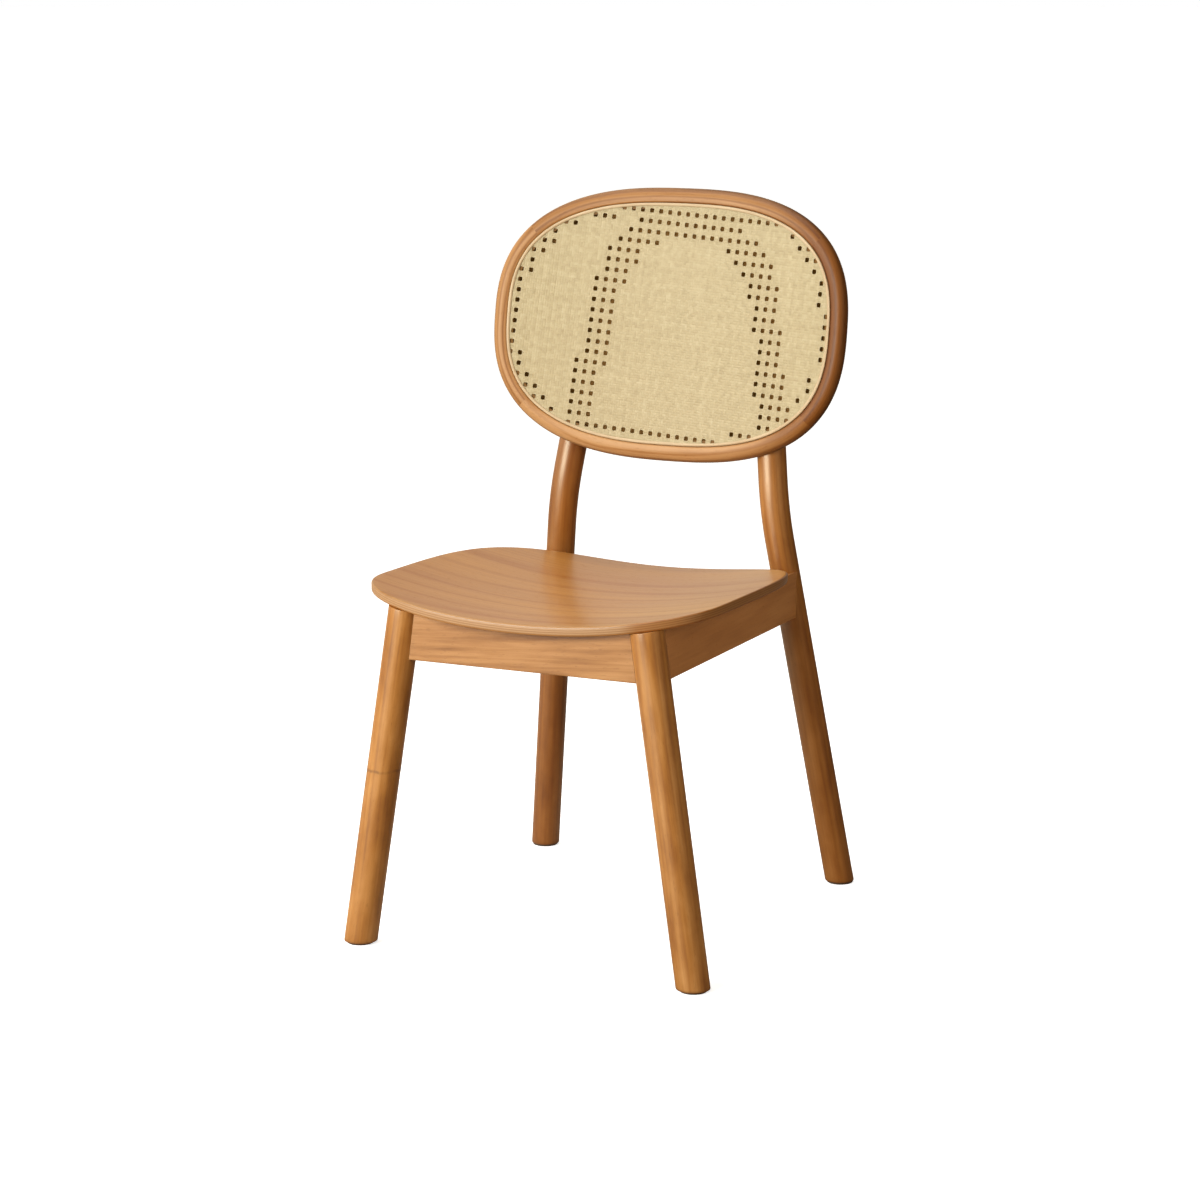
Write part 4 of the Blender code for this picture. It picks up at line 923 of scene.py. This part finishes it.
def strand_sheet(name, upright):
    """One family of strands. A strand's centre line is sampled twice at each crossing, lifted in front
    of or behind the middle plane by the weave, and given a low triangular section with a crown."""
    own, other = (all_columns, all_rows) if upright else (all_rows, all_columns)
    own_pitch, other_pitch = (PITCH_ACROSS, PITCH_UP) if upright else (PITCH_UP, PITCH_ACROSS)
    number = np.arange(own[0] * CELL_STRANDS, (own[-1] + 1) * CELL_STRANDS)
    crossing = np.arange(other[0] * CELL_STRANDS, (other[-1] + 1) * CELL_STRANDS)
    strand = (number - CELL_MIDDLE) / CELL_STRANDS
    travel = (crossing[:, None] - CELL_MIDDLE + CROSSING_STATIONS).ravel() / CELL_STRANDS
    strands, travels = np.meshgrid(strand, travel, indexing="ij")
    if upright:
        place, squeezed, _ = woven(strands, travels)
        over = warp_is_over(number[:, None], crossing[None, :])
    else:
        place, _, squeezed = woven(travels, strands)
        over = ~warp_is_over(crossing[None, :], number[:, None])
    over = np.repeat(over, 2, axis=1)
    width = own_pitch * STRAND_WIDTH_SHARE * (1 - squeezed)
    course = unit(np.gradient(place, axis=1))
    aside = np.stack([-course[..., 1], course[..., 0]], axis=-1) * width[..., None] / 2
    base = CANE_PLANE + np.where(over, CROSSING_GAP, -CROSSING_GAP - STRAND_THICKNESS)
    corners = [(place - aside, base), (place + aside, base), (place, base + STRAND_THICKNESS)]
    rings = np.stack([on_back(spot[..., 0], spot[..., 1], level) for spot, level in corners], axis=2)
    size = oval_sum(place) ** (1 / HOOP_CURVE_POWER)
    reach = np.linalg.norm(place, axis=2)
    kept = reach / np.maximum(size, 1e-9) - reach > CANE_EDGE_INSET
    return strand_mesh(name, rings, kept, travel * other_pitch)


def strand_mesh(name, rings, kept, travel):
    """Mesh of many strands at once: faces only between neighbouring kept stations, and a triangle over
    each end. The readings are the place in the strand, and a tone that each strand keeps."""
    strands, stations = kept.shape
    number = np.arange(strands * stations * 3).reshape(strands, stations, 3)
    joined = kept[:, :-1] & kept[:, 1:]
    lower, upper = number[:, :-1][joined], number[:, 1:][joined]
    quads = np.stack([lower, np.roll(lower, -1, axis=1), np.roll(upper, -1, axis=1), upper], axis=-1)
    before = np.pad(joined, ((0, 0), (1, 0)))
    after = np.pad(joined, ((0, 0), (0, 1)))
    ends = np.concatenate([number[after & ~before][:, ::-1], number[before & ~after]])
    used = np.unique(np.concatenate([quads.ravel(), ends.ravel()]))
    renumber = np.zeros(number.size, int)
    renumber[used] = np.arange(len(used))
    tones = np.random.default_rng(11).random(strands)
    tone = np.broadcast_to(tones[:, None, None], number.shape)
    aside = STRAND_GRAIN + np.arange(strands)[:, None, None] * STRAND_GRAIN_SHIFT
    lengthwise = travel[None, :, None]
    strand_grain = np.stack(np.broadcast_arrays(aside, 0.0, lengthwise), axis=-1)
    readings = {"grain": strand_grain.reshape(-1, 3)[used], "tone": tone.reshape(-1, 1)[used]}
    faces = renumber[quads.reshape(-1, 4)]
    points = rings.reshape(-1, 3)[used]
    return closed_mesh(name, points, faces, renumber[ends], readings, sharp_degrees=60.0)


cane = Finish("split_rattan")
grain = cane.reading("grain")
tone = cane.reading("tone", out=2)
fibre = cane.noise(grain, (2600.0, 2600.0, 45.0), detail=3.0, roughness=0.6)
patch = cane.noise(grain, (30.0, 30.0, 22.0))
speck = cane.between(cane.noise(grain, (700.0, 700.0, 260.0), detail=1.0), 0.68, 0.76)
mottle = cane.noise(cane.place(), (140.0,) * 3)
level = tone * 0.12 + patch * 0.25 + mottle * 0.38 + fibre * 0.25
colour = cane.ramp(level, (0.28, 0.50, 0.70), STRAW_TONES)
colour = cane.blend(speck * 0.35, colour, STRAW_SPECK)
cane.surface(colour, 0.42 + fibre * 0.16, fibre, 0.4, 0.00005)
cane.show({"Specular IOR Level": 0.45})
for name, upright in (("cane_warp", True), ("cane_weft", False)):
    fit(strand_sheet(name, upright), cane, "natural_cane", "cane_panel")


# Spline. A pale rattan reed pressed with glue into the groove all round, over the edge of the cane,
# slightly crowned where it stands up between the rail and the weave.

SPLINE_CROWN = 0.0006
SPLINE_LAP = 0.0007
SHOULDER_DROP = 0.0002
CROWN_STEPS = 9
REED_TONES = ((0.400, 0.275, 0.145), (0.500, 0.375, 0.220), (0.590, 0.470, 0.305))

spline_outer = -RAIL_OUT - FIT_GAP
spline_inner = GROOVE_INNER + FIT_GAP
crown_inner = spline_inner - SPLINE_LAP
crown = circle(0, math.pi, CROWN_STEPS) * ((spline_outer - crown_inner) / 2, 2 * SPLINE_CROWN)
crown += ((spline_outer + crown_inner) / 2, RAIL_FRONT - SPLINE_CROWN)
floor_forward = RAIL_FRONT - GROOVE_DEPTH + FIT_GAP
shoulder = [(spline_inner, RAIL_FRONT - SPLINE_CROWN - SHOULDER_DROP), (spline_inner, floor_forward)]
spline_section = np.concatenate([[(spline_outer, floor_forward)], crown, shoulder])
rings, grain = swept(hoop_line, hoop_normals, hoop_reach, spline_section)
spline = skin("reed_spline", rings, {"grain": grain}, closed=True)
reed = Finish("pale_reed_core")
grain = reed.reading("grain")
fibre = reed.noise(grain, (1900.0, 1900.0, 40.0), detail=3.0, roughness=0.6)
patch = reed.noise(grain, (60.0, 60.0, 14.0))
colour = reed.ramp(patch * 0.5 + fibre * 0.5, (0.3, 0.5, 0.72), REED_TONES)
reed.surface(colour, 0.45 + fibre * 0.15, fibre, 0.4, 0.00006)
fit(spline, reed, "pale_reed", "cane_spline")


# Studio. A plain white floor, a large soft light on the camera's left, weaker ones above and on the right,
# and a surround that is bright on the left and dark on the right, as dark screens there would make it.

FLOOR_RADIUS = 60.0
FLOOR_SIDES = 96
FLOOR_GLOW = 0.72
FLOOR_WHITE = (0.90, 0.90, 0.90)
FLOOR_SHADE = (0.93, 0.93, 0.93)
BOUNCE_LEFT = (0.50, 0.44, 0.37)
BOUNCE_RIGHT = (0.12, 0.10, 0.08)
BOUNCE_ACROSS = (-0.6, 0.5)
SCREENED_ACROSS = (-0.85, 0.35)
SURROUND_TINT = (1.0, 0.95, 0.84)

rim = FLOOR_RADIUS * circle(0, 2 * math.pi, FLOOR_SIDES + 1)[:-1]
floor_mesh = bpy.data.meshes.new("studio_floor")
floor_mesh.from_pydata([(x, y, 0.0) for x, y in rim.tolist()], [], [range(FLOOR_SIDES)])
floor = placed("studio_floor", floor_mesh)
paper = Finish("studio_paper")
place = paper.place()
mottle = paper.noise(place, (3.0,) * 3)
colour = paper.blend(mottle * 0.1, FLOOR_WHITE, FLOOR_SHADE)
paper.show({"Base Color": colour, "Roughness": 0.9, "Specular IOR Level": 0.1})
paper.show({"Emission Color": WHITE, "Emission Strength": FLOOR_GLOW})

# The camera sees the white paper, and the chair its bounced light, warm at the left and dim at the right.
sideways = paper.component(place, 0)
bounced = paper.blend(paper.between(sideways, *BOUNCE_ACROSS), BOUNCE_LEFT, BOUNCE_RIGHT)
bounce = paper.node("ShaderNodeBsdfDiffuse", None, {"Color": bounced})
seen = paper.node("ShaderNodeLightPath")
lit = Reading(paper, paper.shader.outputs[0])
surface = paper.node("ShaderNodeMixShader", None, {0: seen, 1: bounce, 2: lit})
paper.feed(paper.tree.nodes["Material Output"], {"Surface": surface})
floor.data.materials.append(paper.material)


def soft_light(name, place, target, width, height, power, colour=WHITE, mirrored=True):
    """A rectangular area light at a place, facing a target. Its image in the lacquer can be kept away."""
    light = bpy.data.lights.new(name, "AREA")
    light.shape = "RECTANGLE"
    light.size = width
    light.size_y = height
    light.energy = power
    light.color = colour
    way = Vector(target) - Vector(place)
    lamp = placed(name, light)
    lamp.location = place
    lamp.rotation_euler = way.to_track_quat("-Z", "Y").to_euler()
    lamp.visible_glossy = mirrored


soft_light("key_light", (-1.45, -3.14, 1.50), (0.0, 0.0, 0.5), 2.0, 2.0, 153.0, (1.0, 0.98, 0.93))
soft_light("top_light", (-0.6, 0.0, 3.2), (0.0, 0.0, 0.4), 2.0, 2.0, 41.0)
soft_light("fill_light", (3.0, -1.2, 1.3), (0.0, 0.0, 0.4), 2.4, 2.0, 43.0, (1.0, 0.86, 0.66), False)

surround = Finish("studio_surround", "worlds", "Background")
bpy.context.scene.world = surround.material
ways = surround.node("ShaderNodeTexCoord")
seen = surround.node("ShaderNodeLightPath")
screened = surround.between(surround.component(ways, 0), *SCREENED_ACROSS, 1.0, 0.04)
strength = surround.node("ShaderNodeMix", None, {0: seen, 2: screened, 3: 1.0})
tint = surround.blend(seen, SURROUND_TINT, WHITE)
surround.show({"Strength": strength, "Color": tint})


# Camera. It stands where the photograph was taken from, with a long lens and the photograph's slight
# shift, and shows colours as they are.

CAMERA_DIP = 11.441
CAMERA_TURN = 25.315

camera = bpy.data.cameras.new("studio_camera")
camera.sensor_width = 36.0
camera.lens = 97.63
camera.shift_x = 0.0002
camera.shift_y = -0.0006
camera.clip_end = 200.0
tripod = placed("studio_camera", camera)
tripod.location = (1.72826, -3.68551, 1.23797)
tripod.rotation_euler = (math.radians(90 - CAMERA_DIP), 0.0, math.radians(CAMERA_TURN))
bpy.context.scene.camera = tripod
bpy.context.scene.view_settings.view_transform = "Standard"
